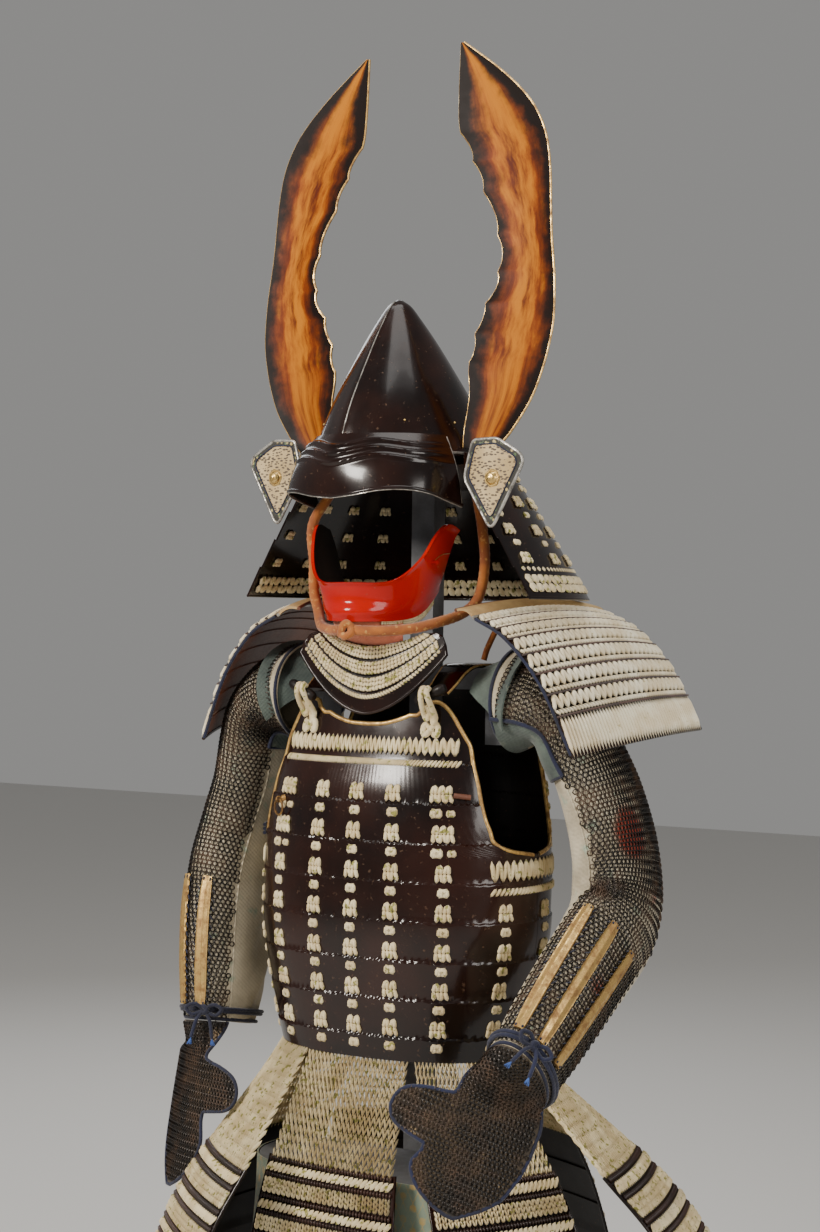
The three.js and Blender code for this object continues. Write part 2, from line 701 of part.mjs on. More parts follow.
// Half mask: chin and cheeks, with no nose.
const MASK = { side: 87, front: 120, power: 2, thick: 2.2, angle: 98 };
const MASK_EDGE = [
  { angle: 0, top: 1166, bottom: 1121 },
  { angle: 25, top: 1169, bottom: 1122 },
  { angle: 45, top: 1195, bottom: 1126 },
  { angle: 60, top: 1225, bottom: 1133 },
  { angle: 75, top: 1238, bottom: 1143 },
  { angle: 98, top: 1233, bottom: 1158 },
];
const MASK_FORM = [
  { t: 0, scale: 0.92, wide: 0.74 },
  { t: 0.2, scale: 0.945, wide: 0.79 },
  { t: 0.5, scale: 0.935, wide: 0.88 },
  { t: 0.8, scale: 0.955, wide: 0.95 },
  { t: 1, scale: 0.98, wide: 1 },
];
const maskTop = curve(MASK_EDGE, "angle", "top");
const maskBottom = curve(MASK_EDGE, "angle", "bottom");
const maskScale = curve(MASK_FORM, "t", "scale");
const maskWide = curve(MASK_FORM, "t", "wide");

function maskPoint(angle, t, inset) {
  const side = MASK.side * maskWide(t);
  const across = Math.abs(Math.sin(rad(angle)) / side) ** MASK.power;
  const along = Math.abs(Math.cos(rad(angle)) / MASK.front) ** MASK.power;
  const reach = (across + along) ** (-1 / MASK.power) * maskScale(t) - inset;
  const z = mix(maskBottom(Math.abs(angle)), maskTop(Math.abs(angle)), t);
  return point(reach * Math.sin(rad(angle)), -reach * Math.cos(rad(angle)), z);
}

function mask() {
  const shell = wall({
    rows: MASK_FORM,
    us: steps(-MASK.angle, MASK.angle, 12),
    inner: (angle, row) => maskPoint(angle, row.t, 0),
    out: (angle) => point(Math.sin(rad(angle)), -Math.cos(rad(angle)), 0),
    thick: () => MASK.thick,
  });
  const pegs = [-1, 1].map((side) => {
    const place = maskPoint(side * 62, 0.62, -1);
    const peg = new THREE.CylinderGeometry(1.8, 2.6, 9, 7).rotateX(rad(90)).translate(0, 0, 4.5);
    return laid(peg, place, point(side * 0.9, -0.4, 0.1));
  });
  return join(shell, ...pegs);
}
add("mask", placed(mask()), "vermilion");

// Throat guard: lames under the chin that sag in the middle and rise at the sides.
const THROAT = [
  { z: 1091, y: -84, half: 68, rise: 12 },
  { z: 1071, y: -88, half: 84, rise: 34 },
  { z: 1052, y: -91, half: 93, rise: 50 },
  { z: 1032, y: -94, half: 99, rise: 61 },
  { z: 1010, y: -97, half: 103, rise: 71 },
];
const THROAT_BEND = 15;
const THROAT_STEP = 2.6;

function throatPoint(u, row, lift) {
  const rise = row.rise * Math.abs(u) ** 1.8;
  const place = point(u * row.half, row.y + THROAT_BEND * u * u, row.z + rise);
  return place.addScaledVector(throatOut(u), lift);
}

function throatOut(u) {
  return point(0.45 * u, -1, 0).normalize();
}

function throatGuard() {
  const rows = [];
  THROAT.slice(0, -1).forEach((row, i) => {
    rows.push({ ...row, lift: i ? THROAT_STEP : 0, z: i ? row.z - 1 : row.z });
    rows.push({ ...THROAT[i + 1], lift: 0 });
  });
  return wall({
    rows,
    us: steps(-1, 1, 10),
    inner: (u, row) => throatPoint(u, row, row.lift),
    out: (u) => throatOut(u),
    thick: () => PLATE,
  });
}
add("throat_guard", throatGuard(), "lacing");

// Chin cloth: from inside the mask's lower edge down to the throat guard.
function chinCloth() {
  const spread = 38;
  const upper = (u) => placed(maskPoint(u * spread, 0, SEAM + CLOTH + 2.4)).add(point(0, 0, 1.5));
  const lower = (u) => throatPoint(u * 0.66 - 0.06, THROAT[0], 0).add(point(0, 0, SEAM + 1.1));
  return wall({
    rows: [{ t: 0 }, { t: 0.5 }, { t: 1 }],
    us: steps(-1, 1, 8),
    inner: (u, row) => lower(u).lerp(upper(u), row.t),
    out: (u) => point(0.5 * u, -1, -0.45),
    thick: () => CLOTH,
  });
}
add("chin_cloth", chinCloth(), "salmon");

// Helmet cord: from inside the bowl down the cheek and under the chin.
const CORD_RADIUS = 7;
const CORD_LEFT = [
  { x: 87, y: -12, z: 1320 },
  { x: 95, y: -8, z: 1280 },
  { x: 100, y: 0, z: 1235 },
  { x: 101, y: 6, z: 1190 },
  { x: 96, y: 0, z: 1150 },
  { x: 88, y: -20, z: 1132 },
  { x: 74, y: -56, z: 1120 },
  { x: 54, y: -86, z: 1112 },
  { x: 30, y: -108, z: 1109 },
  { x: 8, y: -121, z: 1109 },
  { x: -7, y: -123, z: 1110 },
];
const CORD_RIGHT = [
  { x: -88, y: -18, z: 1320 },
  { x: -97, y: -30, z: 1280 },
  { x: -112.5, y: -47.5, z: 1238 },
  { x: -110, y: -48, z: 1190 },
  { x: -105, y: -54, z: 1155 },
  { x: -94, y: -61, z: 1133 },
  { x: -80, y: -77, z: 1119 },
  { x: -62, y: -97, z: 1112 },
  { x: -40, y: -113, z: 1109 },
  { x: -22, y: -122, z: 1109 },
  { x: -10, y: -123, z: 1110 },
];

function helmetCord(route) {
  return tube(route.map(({ x, y, z }) => point(x, y, z)), CORD_RADIUS, 6, 17);
}
add("helmet_cord_left", helmetCord(CORD_LEFT), "orange");
add("helmet_cord_right", helmetCord(CORD_RIGHT), "orange");

// Skirt plates: each hangs on laces from the waist, and swings out as far as its reach
// at each level. The waist columns are the angles where its laces start and end.
const TASSETS = [
  { name: "front", face: -4, from: -36, to: 36, reach: 146, lower: 160, half: 91 },
  { name: "left_front", face: 62, from: 36, to: 84, reach: 205, lower: 240 },
  { name: "left_side", face: 104, from: 84, to: 132, reach: 275, lower: 336 },
  { name: "back_left", face: 158, from: 132, to: 180, reach: 205, lower: 232 },
  { name: "back_right", face: 212, from: 180, to: 228, reach: 198, lower: 222 },
  { name: "right_side", face: 264, from: 228, to: 276, reach: 190, lower: 210 },
  { name: "right_front", face: 320, from: 276, to: 324, reach: 224, lower: 262 },
];
const TASSET = { gap: 1.5, lames: 5, half: 86, flare: 27, bow: 6, step: 2, thick: 3, lowerZ: 420 };

function tassetReach(row, z) {
  const gain = row.lower - row.reach;
  const path = [
    { z: TASSET_BOTTOM_Z, reach: row.lower + gain * 1.1 },
    { z: 344, reach: row.lower + gain * 0.75 },
    { z: TASSET.lowerZ, reach: row.lower },
    { z: TASSET_TOP_Z, reach: row.reach },
  ];
  return curve(path, "z", "reach")(z);
}

// A point of a skirt plate, with u from its first edge to its last.
function tassetPoint(tasset, u, z, lift) {
  const face = rad(tasset.face);
  const out = point(Math.sin(face), -Math.cos(face), 0);
  const along = point(Math.cos(face), Math.sin(face), 0);
  const depth = Math.min(z, TASSET_TOP_Z);
  const fall = (TASSET_TOP_Z - depth) / (TASSET_TOP_Z - TASSET_BOTTOM_Z);
  const half = (tasset.half ?? TASSET.half) + TASSET.flare * fall;
  const reach = tassetReach(tasset, depth) - TASSET.bow * u * u + lift;
  const plate = out.multiplyScalar(reach).addScaledVector(along, u * half).setZ(depth);
  if (z <= TASSET_TOP_Z) return plate;
  const middle = (tasset.from + tasset.to) / 2;
  const spread = (tasset.to - tasset.from - TASSET.gap) / 2;
  const waist = cuirassPoint(middle + u * spread, WAIST_Z, 0).setZ(WAIST_Z - SEAM);
  return plate.lerp(waist, (z - TASSET_TOP_Z) / (WAIST_Z - SEAM - TASSET_TOP_Z));
}

function tassetPlate(tasset) {
  const rows = [{ z: TASSET_BOTTOM_Z, lift: 0 }];
  const height = (TASSET_TOP_Z - TASSET_BOTTOM_Z) / TASSET.lames;
  for (let k = 1; k <= TASSET.lames; k += 1) {
    const z = TASSET_BOTTOM_Z + height * k;
    rows.push({ z, lift: TASSET.step }, { z: z + 1, lift: 0 });
  }
  rows.push({ z: WAIST_Z - SEAM, lift: 0 });
  const face = rad(tasset.face);
  return wall({
    rows,
    us: steps(-1, 1, 4),
    inner: (u, row) => tassetPoint(tasset, u, row.z, row.lift),
    out: () => point(Math.sin(face), -Math.cos(face), 0),
    thick: () => TASSET.thick,
  });
}
TASSETS.forEach((tasset) => add(`tasset_${tasset.name}`, tassetPlate(tasset), "lacing"));

// Sleeves: rings along the arm, each with a half width along its wide axis and a half
// depth across it. The wide axis starts along Y and turns with the arm.
const SLEEVE_LEFT = [
  { x: 150, y: 10, z: 1030, wide: 75, thin: 60 },
  { x: 176, y: 16, z: 1028, wide: 81, thin: 50 },
  { x: 205, y: 26, z: 1009, wide: 84, thin: 42 },
  { x: 223, y: 33, z: 970, wide: 87, thin: 38 },
  { x: 244, y: 39, z: 920, wide: 90, thin: 40 },
  { x: 261, y: 40, z: 860, wide: 92, thin: 43 },
  { x: 268, y: 36, z: 805, wide: 90, thin: 46 },
  { x: 271, y: 17, z: 766, wide: 85, thin: 46 },
  { x: 270, y: -14, z: 742, wide: 79, thin: 44 },
  { x: 267, y: -52, z: 715, wide: 74, thin: 43 },
  { x: 262, y: -95, z: 682, wide: 69, thin: 41 },
  { x: 257, y: -136, z: 650, wide: 62, thin: 38 },
  { x: 252, y: -172, z: 620, wide: 54, thin: 33 },
];
const SLEEVE_RIGHT = [
  { x: -150, y: 10, z: 1030, wide: 75, thin: 60 },
  { x: -176, y: 16, z: 1028, wide: 80, thin: 50 },
  { x: -204, y: 26, z: 1007, wide: 82, thin: 42 },
  { x: -221, y: 32, z: 968, wide: 80, thin: 40 },
  { x: -234, y: 34, z: 910, wide: 78, thin: 41 },
  { x: -245, y: 22, z: 855, wide: 76, thin: 42 },
  { x: -251, y: 2, z: 800, wide: 73, thin: 43 },
  { x: -252, y: -14, z: 745, wide: 68, thin: 41 },
  { x: -250, y: -26, z: 690, wide: 62, thin: 38 },
  { x: -249, y: -33, z: 650, wide: 56, thin: 35 },
  { x: -247, y: -40, z: 612, wide: 51, thin: 31 },
];
const SLEEVE_COLUMNS = 16;
const MAIL_SPAN = 90;
const MAIL_LIFT = CLOTH + SEAM;

// The rings with their frames: along the arm, the wide axis and the thin one.
function sleeveFrames(rings) {
  const centres = rings.map(({ x, y, z }) => point(x, y, z));
  let wideAxis = point(0, 1, 0);
  return rings.map((row, i) => {
    const ahead = centres[Math.min(i + 1, centres.length - 1)];
    const behind = centres[Math.max(i - 1, 0)];
    const along = i ? ahead.clone().sub(behind).normalize() : point(Math.sign(row.x), 0, 0);
    wideAxis = wideAxis.clone().addScaledVector(along, -wideAxis.dot(along)).normalize();
    const thinAxis = along.clone().cross(wideAxis).multiplyScalar(Math.sign(row.x));
    return { ...row, index: i, centre: centres[i], along, wideAxis, thinAxis };
  });
}

// A smooth frame at a fractional place along the arm.
function frameAt(frames, place) {
  const i = Math.min(Math.floor(place), frames.length - 2);
  const t = place - i;
  const [low, high] = [frames[i], frames[i + 1]];
  return {
    index: place,
    centre: low.centre.clone().lerp(high.centre, t),
    along: low.along.clone().lerp(high.along, t).normalize(),
    wideAxis: low.wideAxis.clone().lerp(high.wideAxis, t).normalize(),
    thinAxis: low.thinAxis.clone().lerp(high.thinAxis, t).normalize(),
    wide: mix(low.wide, high.wide, t),
    thin: mix(low.thin, high.thin, t),
  };
}

// The direction of a ring's point, and the point itself at a distance off the cloth's
// inner face.
function ringSpoke(frame, angle) {
  const spoke = frame.wideAxis.clone().multiplyScalar(Math.cos(rad(angle)) / frame.wide);
  return spoke.addScaledVector(frame.thinAxis, Math.sin(rad(angle)) / frame.thin).normalize();
}

function sleevePoint(frame, angle, lift) {
  const place = frame.centre.clone().addScaledVector(frame.wideAxis, frame.wide * Math.cos(rad(angle)));
  place.addScaledVector(frame.thinAxis, frame.thin * Math.sin(rad(angle)));
  return place.addScaledVector(ringSpoke(frame, angle), lift);
}

// Soft folds of the cloth, deepest on the inner side of the arm.
const FOLD = { depth: 2.6, turns: 3 };

function foldDepth(frame, angle, middle) {
  const inner = Math.max(0, -Math.cos(rad(angle - middle)));
  return FOLD.depth * inner * Math.sin(rad(angle * FOLD.turns) + frame.index * 1.9);
}

function sleeve(frames, middle) {
  return wall({
    rows: frames,
    us: steps(0, 360, SLEEVE_COLUMNS).slice(0, SLEEVE_COLUMNS),
    inner: (angle, frame) => sleevePoint(frame, angle, foldDepth(frame, angle, middle)),
    out: (angle, frame) => ringSpoke(frame, angle),
    thick: () => CLOTH,
    loop: true,
  });
}

// The mail is a skin over the cloth on the outer side of the arm.
function mailSkin(frames, middle) {
  return wall({
    rows: frames,
    us: steps(middle - MAIL_SPAN, middle + MAIL_SPAN, 8),
    inner: (angle, frame) => sleevePoint(frame, angle, MAIL_LIFT),
    out: (angle, frame) => ringSpoke(frame, angle),
    thick: () => MAIL,
  });
}

const SPLINT = { width: 15, thick: 2.6, ridge: 2, spread: 36, offset: 8 };

// A gilt splint on the mail, between two places along the arm.
function splint(frames, angle, from, to) {
  const places = steps(from, to, 5).map((place) => frameAt(frames, place));
  const lift = MAIL_LIFT + MAIL + 0.9;
  return wall({
    rows: places,
    us: [-1, 0, 1],
    inner: (u, frame) => {
      const place = sleevePoint(frame, angle, lift);
      const across = ringSpoke(frame, angle).cross(frame.along).normalize();
      return place.addScaledVector(across, (u * SPLINT.width) / 2);
    },
    out: (u, frame) => ringSpoke(frame, angle),
    thick: (u) => (u ? SPLINT.thick - 0.8 : SPLINT.thick + SPLINT.ridge),
  });
}

const armLeft = sleeveFrames(SLEEVE_LEFT);
const armRight = sleeveFrames(SLEEVE_RIGHT);
const ARMS = [
  { side: "left", frames: armLeft, middle: 135, splintFrom: 8.2, splintTo: 11.55 },
  { side: "right", frames: armRight, middle: 157.5, splintFrom: 6.4, splintTo: 9.5 },
];
for (const { side, frames, middle, splintFrom, splintTo } of ARMS) {
  add(`sleeve_${side}`, sleeve(frames, middle), "cream");
  add(`mail_${side}`, mailSkin(frames, middle), "mail");
  [-1, 0, 1].forEach((k, i) => {
    const angle = middle + SPLINT.offset + SPLINT.spread * k;
    add(`splint_${side}_${i + 1}`, splint(frames, angle, splintFrom, splintTo), "gilt");
  });
}

// Hand covers: a mail-covered cloth plate with a lobe over the thumb. The columns are
// the distance from the wrist, and the half widths on the thumb's side and the other.
const HAND = [
  { s: 1, thumb: 46, outer: 46 },
  { s: 18, thumb: 46, outer: 53 },
  { s: 36, thumb: 46, outer: 57 },
  { s: 42, thumb: 74, outer: 58 },
  { s: 52, thumb: 95, outer: 58 },
  { s: 72, thumb: 103, outer: 58 },
  { s: 88, thumb: 96, outer: 56 },
  { s: 95, thumb: 80, outer: 55 },
  { s: 98, thumb: 56, outer: 54 },
  { s: 124, thumb: 60, outer: 45 },
  { s: 142, thumb: 48, outer: 29 },
  { s: 155, thumb: 26, outer: 12 },
  { s: 161, thumb: 6, outer: 4 },
];
const HAND_LOBE_END = 98;
const HAND_WRAP = 92;
const HAND_BLEND = 34;
const HAND_CURL = 0.0028;

function handCover(frame, { origin, along, across, normal, tail }) {
  const wrist = (u, s) => {
    const spoke = normal.clone().multiplyScalar(Math.cos(rad(u * HAND_WRAP))).addScaledVector(across, Math.sin(rad(u * HAND_WRAP)));
    const [c, k] = [spoke.dot(frame.wideAxis), spoke.dot(frame.thinAxis)];
    const angle = (Math.atan2(k, c) * 180) / Math.PI;
    return sleevePoint(frame, angle, MAIL_LIFT).addScaledVector(frame.along, s);
  };
  const plate = (u, row) => {
    const w = u < 0 ? u * row.thumb : u * row.outer;
    const s = row.s + tail * Math.max(0, row.s - HAND_LOBE_END);
    const place = origin.clone().addScaledVector(along, s).addScaledVector(across, w);
    return place.addScaledVector(normal, -HAND_CURL * w * w);
  };
  return wall({
    rows: HAND,
    us: steps(-1, 1, 8),
    inner: (u, row) => {
      const t = Math.min(1, row.s / HAND_BLEND);
      return wrist(u, row.s).lerp(plate(u, row), t * t * (3 - 2 * t));
    },
    out: (u) => normal.clone().addScaledVector(across, u * 0.7),
    thick: () => MAIL,
  });
}

const HANDS = [
  {
    side: "left",
    frame: armLeft[armLeft.length - 1],
    origin: point(247, -189, 622),
    along: point(-0.318, -0.195, -0.928),
    facing: point(0.5225, -0.8526, 0),
    thumb: point(-0.79, -0.485, 0.373),
    tail: 0,
  },
  {
    side: "right",
    frame: armRight[armRight.length - 1],
    origin: point(-264, -71, 608),
    along: point(0.02, -0.1, -1),
    facing: point(-0.55, -0.83, 0),
    thumb: point(0.83, -0.55, 0),
    tail: 0.55,
  },
];
for (const { side, frame, origin, along, facing, thumb, tail } of HANDS) {
  const down = along.clone().addScaledVector(facing, 0.12).normalize();
  const normal = facing.clone().addScaledVector(down, -facing.dot(down)).normalize();
  const across = normal.clone().cross(down).normalize();
  if (across.dot(thumb) > 0) across.negate();
  add(`hand_${side}`, handCover(frame, { origin, along: down, across, normal, tail }), "mail");
}

// Wrist ties: a cord round the wrist over the splints' ends, with a bow.
const TIE_RADIUS = 2.6;

function wristTie(frames, place, bowAngle) {
  const frame = frameAt(frames, place);
  const lift = MAIL_LIFT + MAIL + 0.9 + SPLINT.thick + SPLINT.ridge + SEAM + TIE_RADIUS;
  const round = steps(0, 360, 14).slice(0, 14).map((angle) => sleevePoint(frame, angle, lift));
  const band = hoop(round, TIE_RADIUS, 5);
  const knot = sleevePoint(frame, bowAngle, lift + 2);
  const out = ringSpoke(frame, bowAngle);
  const side = out.clone().cross(frame.along).normalize();
  const bow = (x, y, z) => knot.clone().addScaledVector(side, x).addScaledVector(frame.along, y).addScaledVector(out, z);
  const loops = [-1, 1].map((s) =>
    tube([bow(0, 0, 0), bow(s * 16, -8, 5), bow(s * 30, -2, 7), bow(s * 20, 7, 6), bow(s * 1, 1.5, 2)], TIE_RADIUS, 5, 6),
  );
  const tails = [-1, 1].map((s) => tube([bow(0, 0, 2), bow(s * 8, 12, 6), bow(s * 13, 34, 9)], TIE_RADIUS, 5, 3));
  const ball = closed(new THREE.IcosahedronGeometry(5, 0).translate(knot.x, knot.y, knot.z));
  return join(band, ball, ...loops, ...tails);
}
add("wrist_tie_left", wristTie(armLeft, 11.75, 150), "navy");
add("wrist_tie_right", wristTie(armRight, 9.65, 150), "navy");

// Shoulder guards: laced rows that hang over the sleeve, from a front and a rear edge.
const SODE_FRONT = [
  { s: 0, x: 139, y: -84, z: 1124 },
  { s: 0.33, x: 180, y: -82, z: 1100 },
  { s: 0.62, x: 221, y: -76, z: 1050 },
  { s: 1, x: 259, y: -67, z: 968 },
];
const SODE_REAR = [
  { s: 0, x: 187, y: 163, z: 1130 },
  { s: 0.33, x: 228, y: 169, z: 1108 },
  { s: 0.62, x: 268, y: 174, z: 1066 },
  { s: 1, x: 307, y: 178, z: 993 },
];
const SODE = { rows: 8, step: 2, arch: 14, thick: 3 };
const SODE_TOP = [
  { t: 0, inward: 2.5, rise: 1 },
  { t: 0.4, inward: 9, rise: 7 },
  { t: 0.75, inward: 18, rise: 10 },
  { t: 1, inward: 28, rise: 9 },
];

function sodeEdge(rows, s) {
  return point(curve(rows, "s", "x")(s), curve(rows, "s", "y")(s), curve(rows, "s", "z")(s));
}

function sodeOut(s) {
  const turn = rad(mix(40, 68, s));
  return point(Math.sin(turn) * 0.98, -Math.sin(turn) * 0.2, Math.cos(turn));
}

// A point of a shoulder guard: w runs from the front edge to the rear one, s down.
function sodePoint(w, s, lift) {
  const place = sodeEdge(SODE_FRONT, s).lerp(sodeEdge(SODE_REAR, s), w);
  const arch = SODE.arch * (1 - (2 * w - 1) ** 2);
  return place.addScaledVector(sodeOut(s), arch + lift);
}

function sode() {
  const rows = [{ s: 0, lift: 0 }];
  for (let k = 1; k < SODE.rows; k += 1) {
    const s = k / SODE.rows;
    rows.push({ s, lift: 0 }, { s: s + 0.008, lift: SODE.step });
  }
  rows.push({ s: 1, lift: 0.6 });
  return wall({
    rows,
    us: steps(0, 1, 6),
    inner: (w, row) => sodePoint(w, row.s, row.lift),
    out: (w, row) => sodeOut(row.s),
    thick: () => SODE.thick,
  });
}
addPair("sode", sode(), "lacing");

// The leather-faced top plate of a shoulder guard, over its first row.
function sodeTop() {
  return wall({
    rows: SODE_TOP,
    us: steps(0, 1, 6),
    inner: (w, row) => sodePoint(w, 0, 0).add(point(-row.inward, 0.2 * row.inward, row.rise)),
    out: (w, row) => point(mix(0.5, -0.35, row.t), 0, 1),
    thick: () => SODE.thick,
  });
}
addPair("sode_top", sodeTop(), "leather");

// The cord that holds a shoulder guard to the strap.
function sodeCord() {
  const seat = point(98, 12, YOKE_TOP_Z + SEAM + STRAP_THICK - 0.4 + SEAM + 4);
  const top = sodePoint(0.4, 0, 0).add(point(-27, 5, 2));
  return tube([seat, point(102, 14, 1090), point(116, 18, 1118), top], 4, 7, 8);
}
addPair("sode_cord", sodeCord(), "orange");

// Shoulder cloth: joins the strap's edge to the sleeve's opening.
function shoulderCloth() {
  const spread = 62;
  const lift = CLOTH + FOLD.depth;
  const end = (u) => sleevePoint(armLeft[0], 90 - u * spread, lift).add(point(-SEAM - 0.5, 0, 0));
  const start = (u) => point(109.6, 12 + u * 30, YOKE_TOP_Z + 1);
  return wall({
    rows: [{ t: 0 }, { t: 0.5 }, { t: 1 }],
    us: steps(-1, 1, 6),
    inner: (u, row) => start(u).lerp(end(u), row.t).add(point(0, 0, 3 * Math.sin(Math.PI * row.t) * Math.cos(6 * u))),
    out: () => point(-0.35, 0, 1),
    thick: () => CLOTH,
  });
}
addPair("shoulder_cloth", shoulderCloth(), "sage");

// Thigh cloth: two panels that hang from the waist round the front and the side.
const THIGH = { topZ: 469, bottomZ: 150, x: 82, y: -35, radius: 88, inner: 12, back: 38 };
const THIGH_ROWS = [
  { z: 469, grow: 0, fold: 0 },
  { z: 440, grow: 1, fold: 0.6 },
  { z: 380, grow: 5, fold: 3 },
  { z: 310, grow: 10, fold: 5 },
  { z: 240, grow: 14, fold: 7 },
  { z: 150, grow: 17, fold: 8.5 },
];

// The panel's line in plan: u runs from its inner front edge round to its back edge.
function thighLine(u, grow) {
  const radius = THIGH.radius + grow;
  const front = THIGH.x - THIGH.inner;
  const arc = (radius * Math.PI) / 2;
  const side = THIGH.back - THIGH.y;
  const reach = u * (front + arc + side);
  if (reach < front) return { x: THIGH.inner + reach, y: THIGH.y - radius, nx: 0, ny: -1 };
  if (reach > front + arc) return { x: THIGH.x + radius, y: THIGH.y + reach - front - arc, nx: 1, ny: 0 };
  const turn = (reach - front) / radius;
  const [nx, ny] = [Math.sin(turn), -Math.cos(turn)];
  return { x: THIGH.x + radius * nx, y: THIGH.y + radius * ny, nx, ny };
}

function thighPanel() {
  const wave = (u, row) => row.fold * Math.sin(u * 5.5 * Math.PI + 0.6);
  return wall({
    rows: [...THIGH_ROWS].reverse(),
    us: steps(0, 1, 18),
    inner: (u, row) => {
      const line = thighLine(u, row.grow);
      return point(line.x + line.nx * wave(u, row), line.y + line.ny * wave(u, row), row.z);
    },
    out: (u, row) => point(thighLine(u, row.grow).nx, thighLine(u, row.grow).ny, 0),
    thick: () => CLOTH,
  });
}
addPair("haidate", thighPanel(), "silk");

// Stand: a base board, a post, a seat board for the thigh cloth, a yoke and a head cap.
const BASE = { half: 220, depth: 170, height: 26 };
const POST = { half: 16, front: 28, back: 54, top: 1395 };

add("stand_base", block(point(-BASE.half, -BASE.depth, 0), point(BASE.half, BASE.depth, BASE.height)), "board");
add("stand_post", block(point(-POST.half, POST.front, BASE.height + SEAM), point(POST.half, POST.back, POST.top)), "stand");

// The seat board follows the thigh cloth's inside.
function seatBoard() {
  const shape = new THREE.Shape();
  const inset = 0.9;
  const edge = steps(0, 1, 18).map((u) => {
    const line = thighLine(u, 0);
    return [line.x - line.nx * inset, Math.min(line.y - line.ny * inset, POST.front - SEAM)];
  });
  const outline = [...edge.map(([x, y]) => [-x, y]).reverse(), ...edge];
  outline.forEach(([x, y], i) => (i ? shape.lineTo(x, y) : shape.moveTo(x, y)));
  shape.closePath();
  const board = new THREE.ExtrudeGeometry(shape, { depth: 28, bevelEnabled: false });
  return closed(board.translate(0, 0, THIGH.topZ - 29));
}
add("seat_board", seatBoard(), "stand");

const YOKE = { half: 140, arm: 116, front: -14, under: 1040, drop: 975 };

// The yoke has a bar under the straps and an arm that turns down at each end.
function yoke() {
  const bar = block(point(-YOKE.half, YOKE.front, YOKE.under), point(YOKE.half, POST.front - SEAM, YOKE_TOP_Z));
  const arms = [-1, 1].map((side) => {
    const ends = [side * YOKE.arm, side * YOKE.half].sort((a, b) => a - b);
    return block(point(ends[0], YOKE.front, YOKE.drop), point(ends[1], POST.front - SEAM, YOKE.under + 1));
  });
  return join(bar, ...arms);
}
add("yoke", yoke(), "stand");

// The head cap is a plug under the bowl's top, on the post.
function headCap() {
  const inset = BOWL.thick + 4;
  const low = { h: 63.2, scale: 0.75, shift: -14.6 };
  const high = { h: 102, scale: 0.557, shift: -19 };
  const angles = steps(0, 360, 16).slice(0, 16);
  const ringOf = (row) => angles.map((angle) => bowlPoint(angle, row, inset));
  const [foot, crown] = [ringOf(low), ringOf(high)];
  const points = [...foot, ...crown, point(0, low.shift, foot[0].z), point(0, high.shift, crown[0].z)];
  const faces = [];
  for (let i = 0; i < 16; i += 1) {
    const next = (i + 1) % 16;
    faces.push([i, next, 16 + next], [i, 16 + next, 16 + i], [next, i, 32], [16 + i, 16 + next, 33]);
  }
  return solid(points, faces);
}
add("head_cap", yawed(headCap()), "stand");

export default group;
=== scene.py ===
"""Looks for a samurai armour on a display stand.

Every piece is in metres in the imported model's frame: +Z up, -Y the armour's front and
+X the wearer's left. The tables of sizes are in millimetres.
"""

import logging
import math
from dataclasses import dataclass, field
from enum import Enum
from typing import Callable, Optional, Sequence, Union

import bpy
import numpy as np
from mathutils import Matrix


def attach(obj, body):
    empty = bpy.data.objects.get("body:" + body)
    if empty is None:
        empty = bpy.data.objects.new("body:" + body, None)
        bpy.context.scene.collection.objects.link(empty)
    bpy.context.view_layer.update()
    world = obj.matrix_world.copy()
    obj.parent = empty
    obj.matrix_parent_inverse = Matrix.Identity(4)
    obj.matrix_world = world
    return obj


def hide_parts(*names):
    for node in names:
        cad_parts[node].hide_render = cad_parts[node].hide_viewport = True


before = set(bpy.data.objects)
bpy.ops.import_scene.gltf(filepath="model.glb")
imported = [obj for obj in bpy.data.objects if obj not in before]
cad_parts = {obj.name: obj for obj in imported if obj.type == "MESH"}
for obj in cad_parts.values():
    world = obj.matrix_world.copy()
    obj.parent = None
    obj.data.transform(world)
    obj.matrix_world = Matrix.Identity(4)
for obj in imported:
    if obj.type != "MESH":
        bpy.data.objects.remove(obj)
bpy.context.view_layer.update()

LOG = logging.getLogger("armour")
MM = 0.001
BODY = "armour"
HEAD_YAW = -7.0
FACE_YAW, FACE_SHIFT = 9.0, (-25.0, -10.0, 0.0)
PLATE, CLOTH, SEAM = 2.5, 2.0, 0.3

Array = np.ndarray
Colour = tuple[float, float, float]
Number = Union[float, "Value"]


# ---------------------------------------------------------------- shapes


class Curve:
    """A smooth function through a table of places and values."""

    def __init__(self, *rows: tuple[float, float]) -> None:
        """Sorts the rows and works out their slopes.

        Args:
            rows: pairs of a place and the value there.
        """
        table = np.array(sorted(rows), float)
        self.x, self.y = table[:, 0], table[:, 1]
        last = len(table) - 1
        low = np.maximum(np.arange(last + 1) - 1, 0)
        high = np.minimum(np.arange(last + 1) + 1, last)
        self.slope = (self.y[high] - self.y[low]) / (self.x[high] - self.x[low])

    def __call__(self, at: Union[float, Array]) -> Array:
        """Reads the curve.

        Args:
            at: the places to read.

        Returns:
            The values, held at the table's ends.
        """
        at = np.clip(np.asarray(at, float), self.x[0], self.x[-1])
        i = np.clip(np.searchsorted(self.x, at) - 1, 0, len(self.x) - 2)
        span = self.x[i + 1] - self.x[i]
        t = (at - self.x[i]) / span
        return (
            (2 * t**3 - 3 * t**2 + 1) * self.y[i]
            + (t**3 - 2 * t**2 + t) * span * self.slope[i]
            + (3 * t**2 - 2 * t**3) * self.y[i + 1]
            + (t**3 - t**2) * span * self.slope[i + 1]
        )


